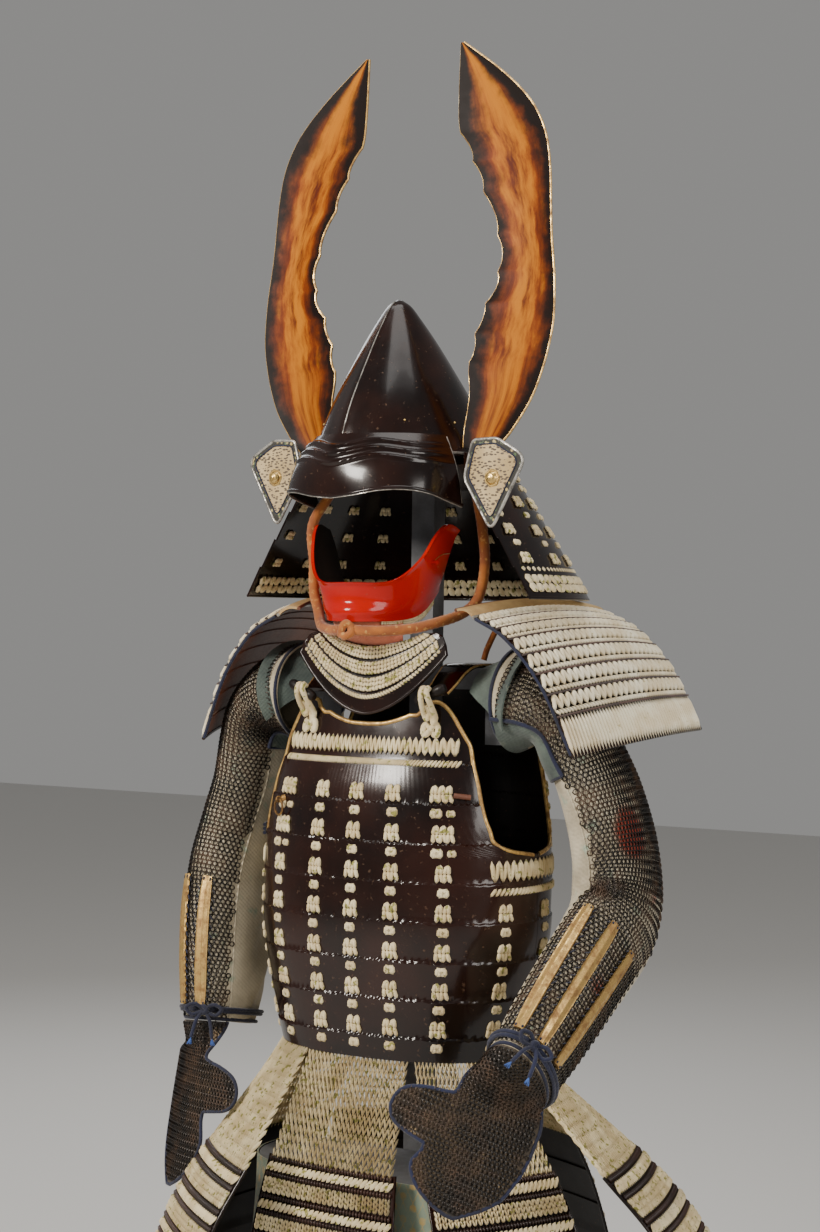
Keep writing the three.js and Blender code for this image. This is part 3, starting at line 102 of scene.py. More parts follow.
def stack(x: Array, y: Array, z: Array) -> Array:
    """Joins three coordinate arrays into points."""
    return np.stack(np.broadcast_arrays(x, y, z), axis=-1).astype(float)


def unit(vectors: Array) -> Array:
    """Scales vectors to length 1."""
    return vectors / np.maximum(np.linalg.norm(vectors, axis=-1, keepdims=True), 1e-12)


def turned(points: Array, degrees: float) -> Array:
    """Turns points about the upright axis."""
    c, s = math.cos(math.radians(degrees)), math.sin(math.radians(degrees))
    return points @ np.array([[c, s, 0], [-s, c, 0], [0, 0, 1.0]])


def crumple(u: Array, v: Array, seed: int, waves: int = 7, pitch: float = 1.0) -> Array:
    """Soft unrepeating folds from -1 to 1.

    Args:
        u: the first coordinate.
        v: the second coordinate.
        seed: a number that fixes the folds.
        waves: how many ripples are summed.
        pitch: how close the ripples are.

    Returns:
        The fold's height at each place.
    """
    dice = np.random.default_rng(seed)
    total = np.zeros(np.broadcast(u, v).shape)
    for _ in range(waves):
        fu, fv, phase = dice.uniform(-1, 1), dice.uniform(-1, 1), dice.uniform(0, 6.28)
        total = total + np.sin(pitch * (fu * u + fv * v) + phase)
    return total / math.sqrt(waves)


@dataclass
class Patch:
    """A surface in millimetres over two coordinates.

    Args:
        place: gives points from the two coordinates.
        sign: 1 or -1, so that the normal points out.
        steps: how far apart the normal's two readings are in each coordinate.
    """

    place: Callable[[Array, Array], Array]
    sign: float = 1.0
    steps: tuple[float, float] = (1e-3, 1e-3)

    def frame(self, u: Array, v: Array) -> tuple[Array, Array, Array, Array, Array, Array]:
        """Reads places with their directions.

        Args:
            u: first coordinates.
            v: second coordinates.

        Returns:
            Points, unit directions along u, along v and out, and the lengths of a step
            of one in u and in v.
        """
        u, v = np.broadcast_arrays(np.asarray(u, float), np.asarray(v, float))
        du, dv = self.steps
        along_u = (self.place(u + du, v) - self.place(u - du, v)) / (2 * du)
        along_v = (self.place(u, v + dv) - self.place(u, v - dv)) / (2 * dv)
        out = unit(np.cross(along_u, along_v)) * self.sign
        first = unit(along_u)
        second = unit(np.cross(out, first))
        second *= np.sign(np.sum(second * along_v, -1, keepdims=True))
        lengths = np.linalg.norm(along_u, axis=-1), np.linalg.norm(along_v, axis=-1)
        return self.place(u, v), first, second, out, *lengths

    def lifted(self, u: Array, v: Array, lift: Union[float, Array]) -> Array:
        """Points that stand off the surface."""
        place, _, _, out, _, _ = self.frame(u, v)
        return place + out * np.asarray(lift, float)[..., None]

    def mirrored(self) -> "Patch":
        """The same surface on the wearer's other side."""
        return Patch(lambda u, v: self.place(u, v) * [-1, 1, 1], -self.sign, self.steps)

    def yawed(self, degrees: float, shift: Sequence[float] = (0, 0, 0)) -> "Patch":
        """The same surface turned about the upright axis and shifted."""
        return Patch(lambda u, v: turned(self.place(u, v), degrees) + shift, self.sign, self.steps)


def add_mesh(
    name: str,
    points: Array,
    faces: Sequence[Array],
    finishes: Sequence["Finish"],
    marks: Optional[Sequence[int]] = None,
    charts: Optional[dict[str, Array]] = None,
    crease: float = 38.0,
) -> bpy.types.Object:
    """Makes a mesh object from arrays.

    Args:
        name: the object's name.
        points: its vertices in millimetres.
        faces: arrays of faces, each with its own corner count.
        finishes: its materials.
        marks: the material's index for each array of faces.
        charts: texture charts, each with a place for every vertex.
        crease: the angle over which an edge stays sharp.

    Returns:
        The new object.
    """
    mesh = bpy.data.meshes.new(name)
    corners = np.concatenate([f.ravel() for f in faces]).astype(np.int32)
    totals = np.concatenate([np.full(len(f), f.shape[1]) for f in faces]).astype(np.int32)
    mesh.vertices.add(len(points))
    mesh.vertices.foreach_set("co", (points * MM).astype(np.float32).ravel())
    mesh.loops.add(len(corners))
    mesh.loops.foreach_set("vertex_index", corners)
    mesh.polygons.add(len(totals))
    mesh.polygons.foreach_set("loop_start", (np.cumsum(totals) - totals).astype(np.int32))
    mesh.polygons.foreach_set("loop_total", totals)
    if marks is not None:
        index = np.concatenate([np.full(len(f), m) for f, m in zip(faces, marks)])
        mesh.polygons.foreach_set("material_index", index.astype(np.int32))
    for chart, spots in (charts or {}).items():
        layer = mesh.uv_layers.new(name=chart)
        layer.data.foreach_set("uv", spots[corners].astype(np.float32).ravel())
    mesh.update(calc_edges=True)
    mesh.validate()
    mesh.shade_smooth()
    mesh.set_sharp_from_angle(angle=math.radians(crease))
    for finish in finishes:
        mesh.materials.append(finish.material())
    piece = bpy.data.objects.new(name, mesh)
    bpy.context.scene.collection.objects.link(piece)
    return piece


def seat(piece: bpy.types.Object, slot: str, *nodes: str, body: str = BODY) -> bpy.types.Object:
    """Ties a piece to its body, hides the nodes that it stands for, and reports it.

    Args:
        piece: the new piece.
        slot: the record's slot that it takes its finish from; not used.
        nodes: the nodes that it stands for.
        body: the body that it rides on.

    Returns:
        The piece.
    """
    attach(piece, body)
    if nodes:
        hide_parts(*nodes)
    LOG.info("%s: %d faces", piece.name, len(piece.data.polygons))
    return piece


def shell(
    name: str,
    patch: Patch,
    us: Array,
    vs: Array,
    thick: float,
    skin: "Finish",
    lining: Optional["Finish"] = None,
    relief: Optional[Callable[[Array, Array], Array]] = None,
    base: Optional[Callable[[Array, Array], Array]] = None,
    loop: bool = False,
    cap: bool = False,
) -> bpy.types.Object:
    """A closed wall over a patch.

    Args:
        name: the piece's name.
        patch: the surface.
        us: the first coordinates of its columns.
        vs: the second coordinates of its rows.
        thick: the wall's thickness.
        skin: the outside's finish.
        lining: the inside's finish, if it differs.
        relief: how far the outside stands proud.
        base: how far both faces stand off the patch.
        loop: whether the columns close into a ring.
        cap: whether the last row is closed over.

    Returns:
        The piece's object.
    """
    u, v = np.meshgrid(us, vs)
    off = base(u, v) if base else np.zeros(u.shape)
    proud = relief(u, v) if relief else np.zeros(u.shape)
    inner = patch.lifted(u, v, off)
    outer = patch.lifted(u, v, off + thick + proud)
    rows, columns = u.shape
    grid = np.arange(rows * columns).reshape(rows, columns)
    ahead = np.roll(grid, -1, axis=1) if loop else grid[:, 1:]
    here = grid if loop else grid[:, :-1]
    count = rows * columns
    face = np.stack([here[:-1], ahead[:-1], ahead[1:], here[1:]], -1).reshape(-1, 4)
    first = inner.reshape(-1, 3)[face[len(face) // 2]]
    out = (outer - inner).reshape(-1, 3)[face[len(face) // 2][0]]
    if np.dot(np.cross(first[1] - first[0], first[2] - first[0]), out) < 0:
        face = face[:, ::-1]
        flip = True
    else:
        flip = False
    rims = []
    edges = [(here[0], ahead[0])] + ([] if cap else [(ahead[-1], here[-1])])
    for line, ends in edges:
        rims.append(np.stack([line, line + count, ends + count, ends], -1))
    if not loop:
        rims.append(np.stack([grid[1:, 0], grid[1:, 0] + count, grid[:-1, 0] + count, grid[:-1, 0]], -1))
        rims.append(np.stack([grid[:-1, -1], grid[:-1, -1] + count, grid[1:, -1] + count, grid[1:, -1]], -1))
    rim = np.concatenate(rims)
    if not flip:
        rim = rim[:, ::-1]
    faces = [face + count, face[:, ::-1], rim]
    marks = [0, 1 if lining else 0, 0]
    if cap:
        top = grid[-1][None, :]
        faces += [(top + count) if not flip else (top + count)[:, ::-1]]
        faces += [top[:, ::-1] if not flip else top]
        marks += [0, marks[1]]
    middle = inner[rows // 2]
    run = np.concatenate([[0], np.cumsum(np.linalg.norm(np.diff(middle, axis=0), axis=1))])
    rise = np.concatenate(
        [[0], np.cumsum(np.linalg.norm(np.diff(inner[:, columns // 2], axis=0), axis=1))]
    )
    size = np.stack(np.meshgrid(run * MM, rise * MM), -1).reshape(-1, 2)
    shares = np.meshgrid(np.linspace(0, 1, columns), np.linspace(0, 1, rows))
    share = np.stack(shares, -1).reshape(-1, 2)
    charts = {"size": np.tile(size, (2, 1)), "share": np.tile(share, (2, 1))}
    points = np.concatenate([inner.reshape(-1, 3), outer.reshape(-1, 3)])
    finishes = [skin] + ([lining] if lining else [])
    return add_mesh(name, points, faces, finishes, marks, charts)


def smooth_path(points: Sequence[Sequence[float]], count: int) -> Array:
    """Evenly spaced points on a smooth line through the given ones."""
    knots = np.array(points, float)
    run = np.concatenate([[0], np.cumsum(np.linalg.norm(np.diff(knots, axis=0), axis=1))])
    at = np.linspace(0, run[-1], count)
    return np.stack([Curve(*zip(run, knots[:, k]))(at) for k in range(3)], -1)


def tube(
    name: str,
    path: Array,
    radius: Union[float, Array],
    finish: "Finish",
    sides: int = 10,
    closed: bool = False,
    flat: float = 1.0,
    strands: int = 0,
    pitch: float = 20.0,
) -> bpy.types.Object:
    """A tube along a path, plain or with the ridges of twisted strands.

    Args:
        name: the piece's name.
        path: points along it.
        radius: its radius, or one for each point.
        finish: its finish.
        sides: points round it.
        closed: whether it is a ring.
        flat: its second half width over the first.
        strands: how many strands show, or 0.
        pitch: the length of one turn of the strands.

    Returns:
        The piece's object.
    """
    count = len(path)
    if closed:
        along = unit(np.roll(path, -1, 0) - np.roll(path, 1, 0))
    else:
        along = unit(np.gradient(path, axis=0))
    spokes = np.zeros_like(path)
    start = np.array([0, 0, 1.0]) if abs(along[0][2]) < 0.8 else np.array([1.0, 0, 0])
    for i in range(count):
        start = start - np.dot(start, along[i]) * along[i]
        start = start / np.linalg.norm(start)
        spokes[i] = start
    across = np.cross(along, spokes)
    turn = np.linspace(0, 2 * math.pi, sides, endpoint=False)
    run = np.concatenate([[0], np.cumsum(np.linalg.norm(np.diff(path, axis=0), axis=1))])
    swell = 1.0
    if strands:
        wave = np.abs(np.sin(0.5 * strands * (turn[None, :] + 2 * math.pi * run[:, None] / pitch)))
        swell = 0.86 + 0.14 * wave
    reach = np.broadcast_to(np.asarray(radius, float), (count,))[:, None] * swell
    points = (
        path[:, None, :]
        + (reach * np.cos(turn))[..., None] * spokes[:, None, :]
        + (reach * flat * np.sin(turn))[..., None] * across[:, None, :]
    )
    grid = np.arange(count * sides).reshape(count, sides)
    below = grid if closed else grid[:-1]
    above = np.roll(grid, -1, 0) if closed else grid[1:]
    face = np.stack(
        [below, np.roll(below, -1, 1), np.roll(above, -1, 1), above], -1
    ).reshape(-1, 4)
    faces = [face]
    if not closed:
        faces += [grid[0][None, ::-1], grid[-1][None, :]]
    chart = np.stack(np.meshgrid(turn * np.mean(reach) * MM, run * MM), -1).reshape(-1, 2)
    charts = {"size": chart}
    return add_mesh(name, points.reshape(-1, 3), faces, [finish], None, charts, 50)


@dataclass(frozen=True)
class Form:
    """A small closed form of radius 1, made of triangles or quads."""

    points: Array
    faces: Array

    @staticmethod
    def bead(sides: int = 5, rings: int = 2) -> "Form":
        """A round bead whose long way is its first axis.

        Args:
            sides: points round it.
            rings: rings between its two tips.

        Returns:
            The form.
        """
        lat = np.linspace(-math.pi / 2, math.pi / 2, rings + 2)[1:-1]
        turn = np.linspace(0, 2 * math.pi, sides, endpoint=False)
        body = [(math.sin(a), math.cos(a) * math.cos(t), math.cos(a) * math.sin(t)) for a in lat for t in turn]
        points = np.array(body + [(-1, 0, 0), (1, 0, 0)], float)
        faces = []
        for j in range(sides):
            k = (j + 1) % sides
            faces.append((rings * sides, k, j))
            top = (rings - 1) * sides
            faces.append((rings * sides + 1, top + j, top + k))
            for i in range(rings - 1):
                a, b = i * sides + j, i * sides + k
                faces += [(a, b, b + sides), (a, b + sides, a + sides)]
        return Form(points, np.array(faces))

    @staticmethod
    def link(sides: int = 8, wire: float = 0.24) -> "Form":
        """A flat ring of wire, of outer radius 1, without its underside.

        Args:
            sides: points round it.
            wire: the wire's radius.

        Returns:
            The form.
        """
        turn = np.linspace(0, 2 * math.pi, sides, endpoint=False)
        bend = np.linspace(0, 2 * math.pi, 3, endpoint=False)
        reach = 1 - wire
        points = [
            ((reach + wire * math.cos(b)) * math.cos(t), (reach + wire * math.cos(b)) * math.sin(t), wire * math.sin(b))
            for t in turn
            for b in bend
        ]
        faces = []
        for i in range(sides):
            for j in range(2):
                a, b = i * 3 + j, i * 3 + (j + 1) % 3
                c, d = ((i + 1) % sides) * 3 + (j + 1) % 3, ((i + 1) % sides) * 3 + j
                faces.append((a, d, c, b))
        return Form(np.array(points, float), np.array(faces))


class Slant(Enum):
    """How the stitches of a braid lie."""

    CHEVRON = 28.0
    LEANING = 9.0
    BRAIDED = 16.0
    UPRIGHT = 0.0
    ROPE = 40.0


class Swarm:
    """Many copies of one form, laid on surfaces and built as one piece."""

    def __init__(self, form: Form) -> None:
        """Starts empty.

        Args:
            form: the form that is copied.
        """
        self.form = form
        self.parts: list[Array] = []

    def lay(self, place: Array, first: Array, second: Array, third: Array) -> None:
        """Adds copies with their three half axes."""
        hand = np.sum(np.cross(first, second) * third, -1, keepdims=True)
        second = np.where(hand < 0, -second, second)
        body = self.form.points
        self.parts.append(
            place[:, None, :]
            + body[None, :, 0:1] * first[:, None, :]
            + body[None, :, 1:2] * second[:, None, :]
            + body[None, :, 2:3] * third[:, None, :]
        )

    def span(
        self,
        patch: Patch,
        us: tuple[float, float],
        vs: tuple[float, float],
        columns: int,
        rows: int,
        slant: Slant = Slant.CHEVRON,
        lift: float = PLATE + 1.0,
        thick: float = 2.4,
        plump: float = 1.2,
        slim: float = 1.0,
    ) -> None:
        """Fills a stretch of a patch with stitches.

        Args:
            patch: the surface.
            us: where the stretch starts and ends in the first coordinate.
            vs: the same in the second.
            columns: cords side by side.
            rows: stitches along each cord.
            slant: how they lie.
            lift: how far their middles stand off the patch.
            thick: their half thickness.
            plump: their size over their spacing.
            slim: their width over what plump gives.
        """
        iu = us[0] + (np.arange(columns) + 0.5) * (us[1] - us[0]) / columns
        iv = vs[0] + (np.arange(rows) + 0.5) * (vs[1] - vs[0]) / rows
        u, v = (a.ravel() for a in np.meshgrid(iu, iv))
        side = np.tile(np.where(np.arange(columns) % 2, 1.0, -1.0), rows)
        place, first, second, out, len_u, len_v = patch.frame(u, v)
        turn = np.radians(slant.value) * side
        if slant is Slant.ROPE:
            turn = np.abs(turn)
        c, s = np.cos(turn)[:, None], np.sin(turn)[:, None]
        slim = slim * (0.7 if slant is Slant.ROPE else 1.0)
        wide = (len_u * abs(us[1] - us[0]) / columns * plump * slim / 2)[:, None]
        tall = (len_v * abs(vs[1] - vs[0]) / rows * plump / 2)[:, None]
        along = second * c + first * s
        self.lay(place + out * lift, along * tall, (first * c - second * s) * wide, out * thick)

    def spread(
        self, patch: Patch, u: float, v: float, beads: Array, lift: float, thick: float
    ) -> None:
        """Lays beads round a place.

        Args:
            patch: the surface.
            u: the place's first coordinate.
            v: the place's second coordinate.
            beads: rows of a bead's shift along and up in millimetres, its turn in
                degrees, and its half length and half width.
            lift: how far their middles stand off the patch.
            thick: their half thickness.
        """
        place, first, second, out, _, _ = patch.frame(np.array([u]), np.array([v]))
        turn = np.radians(beads[:, 2:3])
        along = second * np.cos(turn) + first * np.sin(turn)
        across = first * np.cos(turn) - second * np.sin(turn)
        spot = place + first * beads[:, 0:1] + second * beads[:, 1:2] + out * lift
        self.lay(spot, along * beads[:, 3:4], across * beads[:, 4:5], np.repeat(out, len(beads), 0) * thick)

    def knot(
        self,
        patch: Patch,
        u: float,
        v: float,
        wide: float,
        tall: float,
        strands: int = 4,
        lift: float = PLATE + 1.2,
        thick: float = 3.0,
    ) -> None:
        """A lace's knot: upright strands that lean together in pairs.

        Args:
            patch: the surface.
            u: the knot's first coordinate.
            v: the knot's second coordinate.
            wide: its width in millimetres.
            tall: its height in millimetres.
            strands: how many strands show.
            lift: how far it stands off the patch.
            thick: its half thickness.
        """
        beads = []
        for i in range(strands):
            lean = 11.0 if i % 2 == 0 else -11.0
            x = ((i + 0.5) / strands - 0.5) * wide
            for k in (-1, 1):
                beads.append((x - lean * 0.02 * k * -2, k * tall * 0.23, lean + k * 8, tall * 0.32, wide / strands * 0.68))
        self.spread(patch, u, v, np.array(beads), lift, thick)

    def cross(self, patch: Patch, u: float, v: float, size: float, lift: float = PLATE + 1.6) -> None:
        """A small crossed knot of a size in millimetres."""
        s = size / 2
        beads = [(0, 0, 42, s * 1.05, s * 0.52), (0, 0, -42, s * 1.05, s * 0.52)]
        beads += [(-s * 0.62, 0, 6, s * 0.72, s * 0.42), (s * 0.62, 0, -6, s * 0.72, s * 0.42)]
        self.spread(patch, u, v, np.array(beads), lift, 2.8)

    def build(self, name: str, finish: "Finish") -> bpy.types.Object:
        """Makes the piece.

        Args:
            name: its name.
            finish: its finish.

        Returns:
            The piece's object.
        """
        body = np.concatenate(self.parts)
        count, size = body.shape[0], body.shape[1]
        start = (np.arange(count) * size)[:, None, None]
        faces = (self.form.faces[None] + start).reshape(-1, self.form.faces.shape[1])
        return add_mesh(name, body.reshape(-1, 3), [faces], [finish], None, None, 80)


# ---------------------------------------------------------------- finishes


class Value:
    """A node's output that takes part in sums as a number does."""

    def __init__(self, paint: "Paint", socket: bpy.types.NodeSocket) -> None:
        """Keeps the socket and the paint that it belongs to."""
        self.paint = paint
        self.socket = socket

    def _math(self, operation: str, first: Number, second: Number = 0.0) -> "Value":
        """Adds a Math node."""
        return self.paint.node("ShaderNodeMath", {"operation": operation}, {0: first, 1: second})

    def __add__(self, other: Number) -> "Value":
        """Sum."""
        return self._math("ADD", self, other)

    __radd__ = __add__

    def __sub__(self, other: Number) -> "Value":
        """Difference."""
        return self._math("SUBTRACT", self, other)

    def __rsub__(self, other: Number) -> "Value":
        """Difference from a number."""
        return self._math("SUBTRACT", other, self)

    def __mul__(self, other: Number) -> "Value":
        """Product."""
        return self._math("MULTIPLY", self, other)

    __rmul__ = __mul__

    def __truediv__(self, other: Number) -> "Value":
        """Quotient."""
        return self._math("DIVIDE", self, other)

    def __abs__(self) -> "Value":
        """Size without sign."""
        return self._math("ABSOLUTE", self)

    def wave(self) -> "Value":
        """Sine."""
        return self._math("SINE", self)

    def least(self, other: Number) -> "Value":
        """The smaller of two."""
        return self._math("MINIMUM", self, other)

    def most(self, other: Number) -> "Value":
        """The larger of two."""
        return self._math("MAXIMUM", self, other)

    def steep(self, low: float, high: float) -> "Value":
        """Runs smoothly from 0 to 1 between two values."""
        settings = {"interpolation_type": "SMOOTHSTEP"}
        return self.paint.node(
            "ShaderNodeMapRange", settings, {0: self, 1: low, 2: high, 3: 0.0, 4: 1.0}
        )


class Paint:
    """Builds one material's nodes."""

    def __init__(self, name: str) -> None:
        """Starts a material with a plain shader."""
        self.made = bpy.data.materials.new(name)
        self.made.use_nodes = True
        self.tree = self.made.node_tree
        self.shader = self.tree.nodes["Principled BSDF"]

    def node(
        self,
        kind: str,
        settings: Optional[dict[str, object]] = None,
        inputs: Optional[dict[Union[int, str], object]] = None,
        output: Union[int, str] = 0,
    ) -> Value:
        """Adds a node.

        Args:
            kind: its type.
            settings: what is set on it first; stops are a colour ramp's.
            inputs: values or links for its sockets.
            output: the socket that is handed back.

        Returns:
            That output.
        """
        made = self.tree.nodes.new(kind)
        for key, value in (settings or {}).items():
            if key == "stops":
                ramp = made.color_ramp
                while len(ramp.elements) < len(value):
                    ramp.elements.new(0.5)
                for stop, (place, colour) in zip(ramp.elements, value):
                    stop.position = place
                    stop.color = (*colour, 1.0)
            else:
                setattr(made, key, value)
        for key, value in (inputs or {}).items():
            self._put(made.inputs[key], value)
        return Value(self, made.outputs[output])

    def _put(self, socket: bpy.types.NodeSocket, value: object) -> None:
        """Links a value to a socket, or sets a constant on it."""
        if isinstance(value, Value):
            self.tree.links.new(value.socket, socket)
        elif isinstance(value, tuple) and len(value) == 3 and socket.type == "RGBA":
            socket.default_value = (*value, 1.0)
        else:
            socket.default_value = value

    def feed(self, **inputs: object) -> None:
        """Sets or links the shader's inputs; an underscore stands for a space."""
        for key, value in inputs.items():
            self._put(self.shader.inputs[key.replace("_", " ")], value)

    def place(self, stretch: Sequence[float] = (1, 1, 1)) -> Value:
        """The place on the object, in metres, stretched along each axis."""
        spot = self.node("ShaderNodeTexCoord", None, None, "Object")
        if tuple(stretch) == (1, 1, 1):
            return spot
        settings = {"operation": "MULTIPLY"}
        return self.node("ShaderNodeVectorMath", settings, {0: spot, 1: tuple(stretch)})

    def chart(self, name: str, stretch: Sequence[float] = (1, 1, 1)) -> Value:
        """The place on a chart, stretched along each axis."""
        spot = self.node("ShaderNodeUVMap", {"uv_map": name})
        return self.node(
            "ShaderNodeVectorMath", {"operation": "MULTIPLY"}, {0: spot, 1: tuple(stretch)}
        )

    def parts(self, vector: Value) -> tuple[Value, Value, Value]:
        """The three numbers of a vector."""
        made = self.tree.nodes.new("ShaderNodeSeparateXYZ")
        self.tree.links.new(vector.socket, made.inputs[0])
        return tuple(Value(self, out) for out in made.outputs)

    def cloud(self, at: Value, scale: float, detail: float = 3.0, rough: float = 0.55) -> Value:
        """Noise from 0 to 1."""
        inputs = {"Vector": at, "Scale": scale, "Detail": detail, "Roughness": rough}
        return self.node("ShaderNodeTexNoise", None, inputs, 0)

    def cells(self, at: Value, scale: float, feature: str = "F1", output: Union[int, str] = 0) -> Value:
        """Cells, by the distance from their middles or edges."""
        return self.node("ShaderNodeTexVoronoi", {"feature": feature}, {"Vector": at, "Scale": scale}, output)

    def blend(self, share: Number, low: object, high: object) -> Value:
        """A colour between two."""
        return self.node("ShaderNodeMix", {"data_type": "RGBA"}, {0: share, 6: low, 7: high}, 2)

    def near(self, centre: Sequence[float], reach: float) -> Value:
        """A soft ball of 1 round a place, 0 outside."""
        away = self.node(
            "ShaderNodeVectorMath",
            {"operation": "DISTANCE"},
            {0: self.place(), 1: tuple(centre)},
            "Value",
        )
        return 1 - (away + 0.016 * self.cloud(self.place(), 60)).steep(reach * 0.72, reach)

    def bump(self, height: Value, depth: float, strength: float = 1.0) -> None:
        """Feeds the shader's normal from a height over a depth in metres."""
        normal = self.node(
            "ShaderNodeBump", None, {"Height": height, "Distance": depth, "Strength": strength}
        )
        self.tree.links.new(normal.socket, self.shader.inputs["Normal"])


MATERIALS: dict[str, bpy.types.Material] = {}


@dataclass(frozen=True)
class Finish:
    """A surface finish, which makes its material once."""

    name: str

    def dress(self, paint: Paint) -> None:
        """Builds the nodes."""
        raise NotImplementedError

    def material(self) -> bpy.types.Material:
        """The finish's material."""
        if self.name not in MATERIALS:
            paint = Paint(self.name)
            self.dress(paint)
            MATERIALS[self.name] = paint.made
        return MATERIALS[self.name]


@dataclass(frozen=True)
class Lacquer(Finish):
    """Deep glossy lacquer with a warm cast, fine dust and rubbed places."""

    dark: Colour = (0.0040, 0.0016, 0.0013)
    warm: Colour = (0.021, 0.0064, 0.0038)
    gloss: float = 0.12
    coat: float = 0.14
    shine: float = 0.32

    def dress(self, paint: Paint) -> None:
        """Builds the nodes."""
        at = paint.place()
        tone = paint.cloud(at, 7, 4).steep(0.35, 0.7)
        dust = paint.cloud(at, 55, 6, 0.65)
        worn = paint.cloud(at, 190, 4).steep(0.63, 0.74)
        colour = paint.blend(tone, self.dark, self.warm)
        paint.feed(Base_Color=paint.blend(worn * 0.35, colour, (0.16, 0.09, 0.05)))
        paint.feed(Roughness=self.gloss + dust * 0.16 + worn * 0.12, Coat_Weight=self.coat)
        paint.feed(Coat_Roughness=0.05, Specular_IOR_Level=self.shine)
        paint.bump(paint.cloud(at, 26, 2), 0.0006, 0.35)


@dataclass(frozen=True)
class Horn(Finish):
    """Amber lacquer, streaked along the blade and burnt black at its edges."""

    gold: Colour = (0.46, 0.150, 0.003)
    amber: Colour = (0.27, 0.050, 0.002)
    deep: Colour = (0.085, 0.011, 0.001)
    burnt: Colour = (0.008, 0.004, 0.003)

    def dress(self, paint: Paint) -> None:
        """Builds the nodes."""
        across, up, _ = paint.parts(paint.chart("share"))
        streak = paint.cloud(paint.chart("share", (2.6, 2.4, 1)), 2.0, 7, 0.62)
        mottle = paint.cloud(paint.place(), 38, 5, 0.62)
        edge = abs(across - 0.5) * 2
        tips = (up - 0.80).most(0.10 - up) * 2.2
        burnt = (edge * 0.85 + mottle * 0.7 + tips.most(0) * 0.8).steep(0.66, 1.16)
        glow = (streak * 1.1 - edge * 0.35 + 0.1).steep(0.42, 0.72)
        body = paint.blend(glow, paint.blend(streak.steep(0.3, 0.62), self.deep, self.amber), self.gold)
        paint.feed(Base_Color=paint.blend(burnt, body, self.burnt))
        paint.feed(Roughness=0.40 + mottle * 0.2)
        paint.feed(Specular_IOR_Level=0.12)
        paint.bump(streak * 0.6 + mottle * 0.4, 0.0008, 0.4)


@dataclass(frozen=True)
class Gilt(Finish):
    """Gold or brass, darker in some patches and rubbed bright in others."""

    bright: Colour = (0.83, 0.56, 0.20)
    dull: Colour = (0.26, 0.14, 0.05)
    share: float = 0.5
    rough: float = 0.28

    def dress(self, paint: Paint) -> None:
        """Builds the nodes."""
        at = paint.place()
        wear = paint.cloud(at, 75, 6, 0.7).steep(self.share - 0.16, self.share + 0.18)
        paint.feed(Base_Color=paint.blend(wear, self.dull, self.bright), Metallic=0.55 + wear * 0.4)
        paint.feed(Roughness=self.rough + 0.3 * (1 - wear))
        paint.bump(paint.cloud(at, 240, 4), 0.0004, 0.5)


@dataclass(frozen=True)
class Braid(Finish):
    """Silk braid: a pale ground, coloured flecks and fine threads."""

    ground: Colour = (0.80, 0.68, 0.42)
    shade: Colour = (0.60, 0.47, 0.25)
    fleck: Colour = (0.27, 0.25, 0.05)
    flecks: float = 0.585

    def dress(self, paint: Paint) -> None:
        """Builds the nodes."""
        at = paint.place()
        tone = paint.cloud(at, 34, 4).steep(0.36, 0.66)
        spots = paint.cloud(at, 150, 3, 0.5).steep(self.flecks, self.flecks + 0.05)
        age = paint.cloud(at, 9, 3).steep(0.5, 0.75)
        ground = paint.blend(tone, self.shade, self.ground)
        aged = paint.blend(age * 0.35, ground, self.shade)
        paint.feed(Base_Color=paint.blend(spots, aged, self.fleck), Roughness=0.72 + tone * 0.15)
        paint.feed(Sheen_Weight=0.25, Sheen_Roughness=0.5)
        threads = paint.node(
            "ShaderNodeTexWave",
            {"bands_direction": "DIAGONAL"},
            {"Vector": at, "Scale": 260.0, "Distortion": 3.0, "Detail": 2.0},
            1,
        )
        paint.bump(threads, 0.0005, 0.6)


@dataclass(frozen=True)
class Cloth(Finish):
    """Woven cloth with stains, a fine weave and, where wanted, patches of other dye."""

    ground: Colour = (0.42, 0.39, 0.29)
    shade: Colour = (0.22, 0.21, 0.15)
    fleck: Colour = (0.25, 0.30, 0.22)
    flecks: float = 0.62
    dye: Colour = (0.34, 0.035, 0.02)
    patches: tuple[tuple[float, float, float, float], ...] = ()
    weave: float = 900.0

    def dress(self, paint: Paint) -> None:
        """Builds the nodes."""
        at = paint.place()
        tone = paint.cloud(at, 16, 5, 0.6).steep(0.3, 0.7)
        spots = paint.cloud(at, 42, 4, 0.55).steep(self.flecks, self.flecks + 0.12)
        colour = paint.blend(spots, paint.blend(tone, self.shade, self.ground), self.fleck)
        for x, y, z, reach in self.patches:
            colour = paint.blend(paint.near((x, y, z), reach), colour, self.dye)
        paint.feed(Base_Color=colour, Roughness=0.82 + tone * 0.12, Sheen_Weight=0.2)
        x, y, z = paint.parts(at)
        weave = (x * self.weave + y * self.weave).wave() * (z * self.weave * 1.3).wave()
        paint.bump(weave * 0.5 + paint.cloud(at, 130, 4) * 1.4, 0.0006, 0.55)


@dataclass(frozen=True)
class Iron(Finish):
    """Blackened iron links with brown age."""

    dark: Colour = (0.020, 0.017, 0.015)
    rust: Colour = (0.11, 0.06, 0.032)
    metal: float = 0.5

    def dress(self, paint: Paint) -> None:
        """Builds the nodes."""
        at = paint.place()
        age = paint.cloud(at, 30, 6, 0.65).steep(0.42, 0.72)
        paint.feed(Base_Color=paint.blend(age * 0.7, self.dark, self.rust))
        paint.feed(Metallic=self.metal * (1 - age * 0.5) + 0.05, Roughness=0.36 + age * 0.3)
        paint.bump(paint.cloud(at, 420, 3), 0.0004, 0.5)


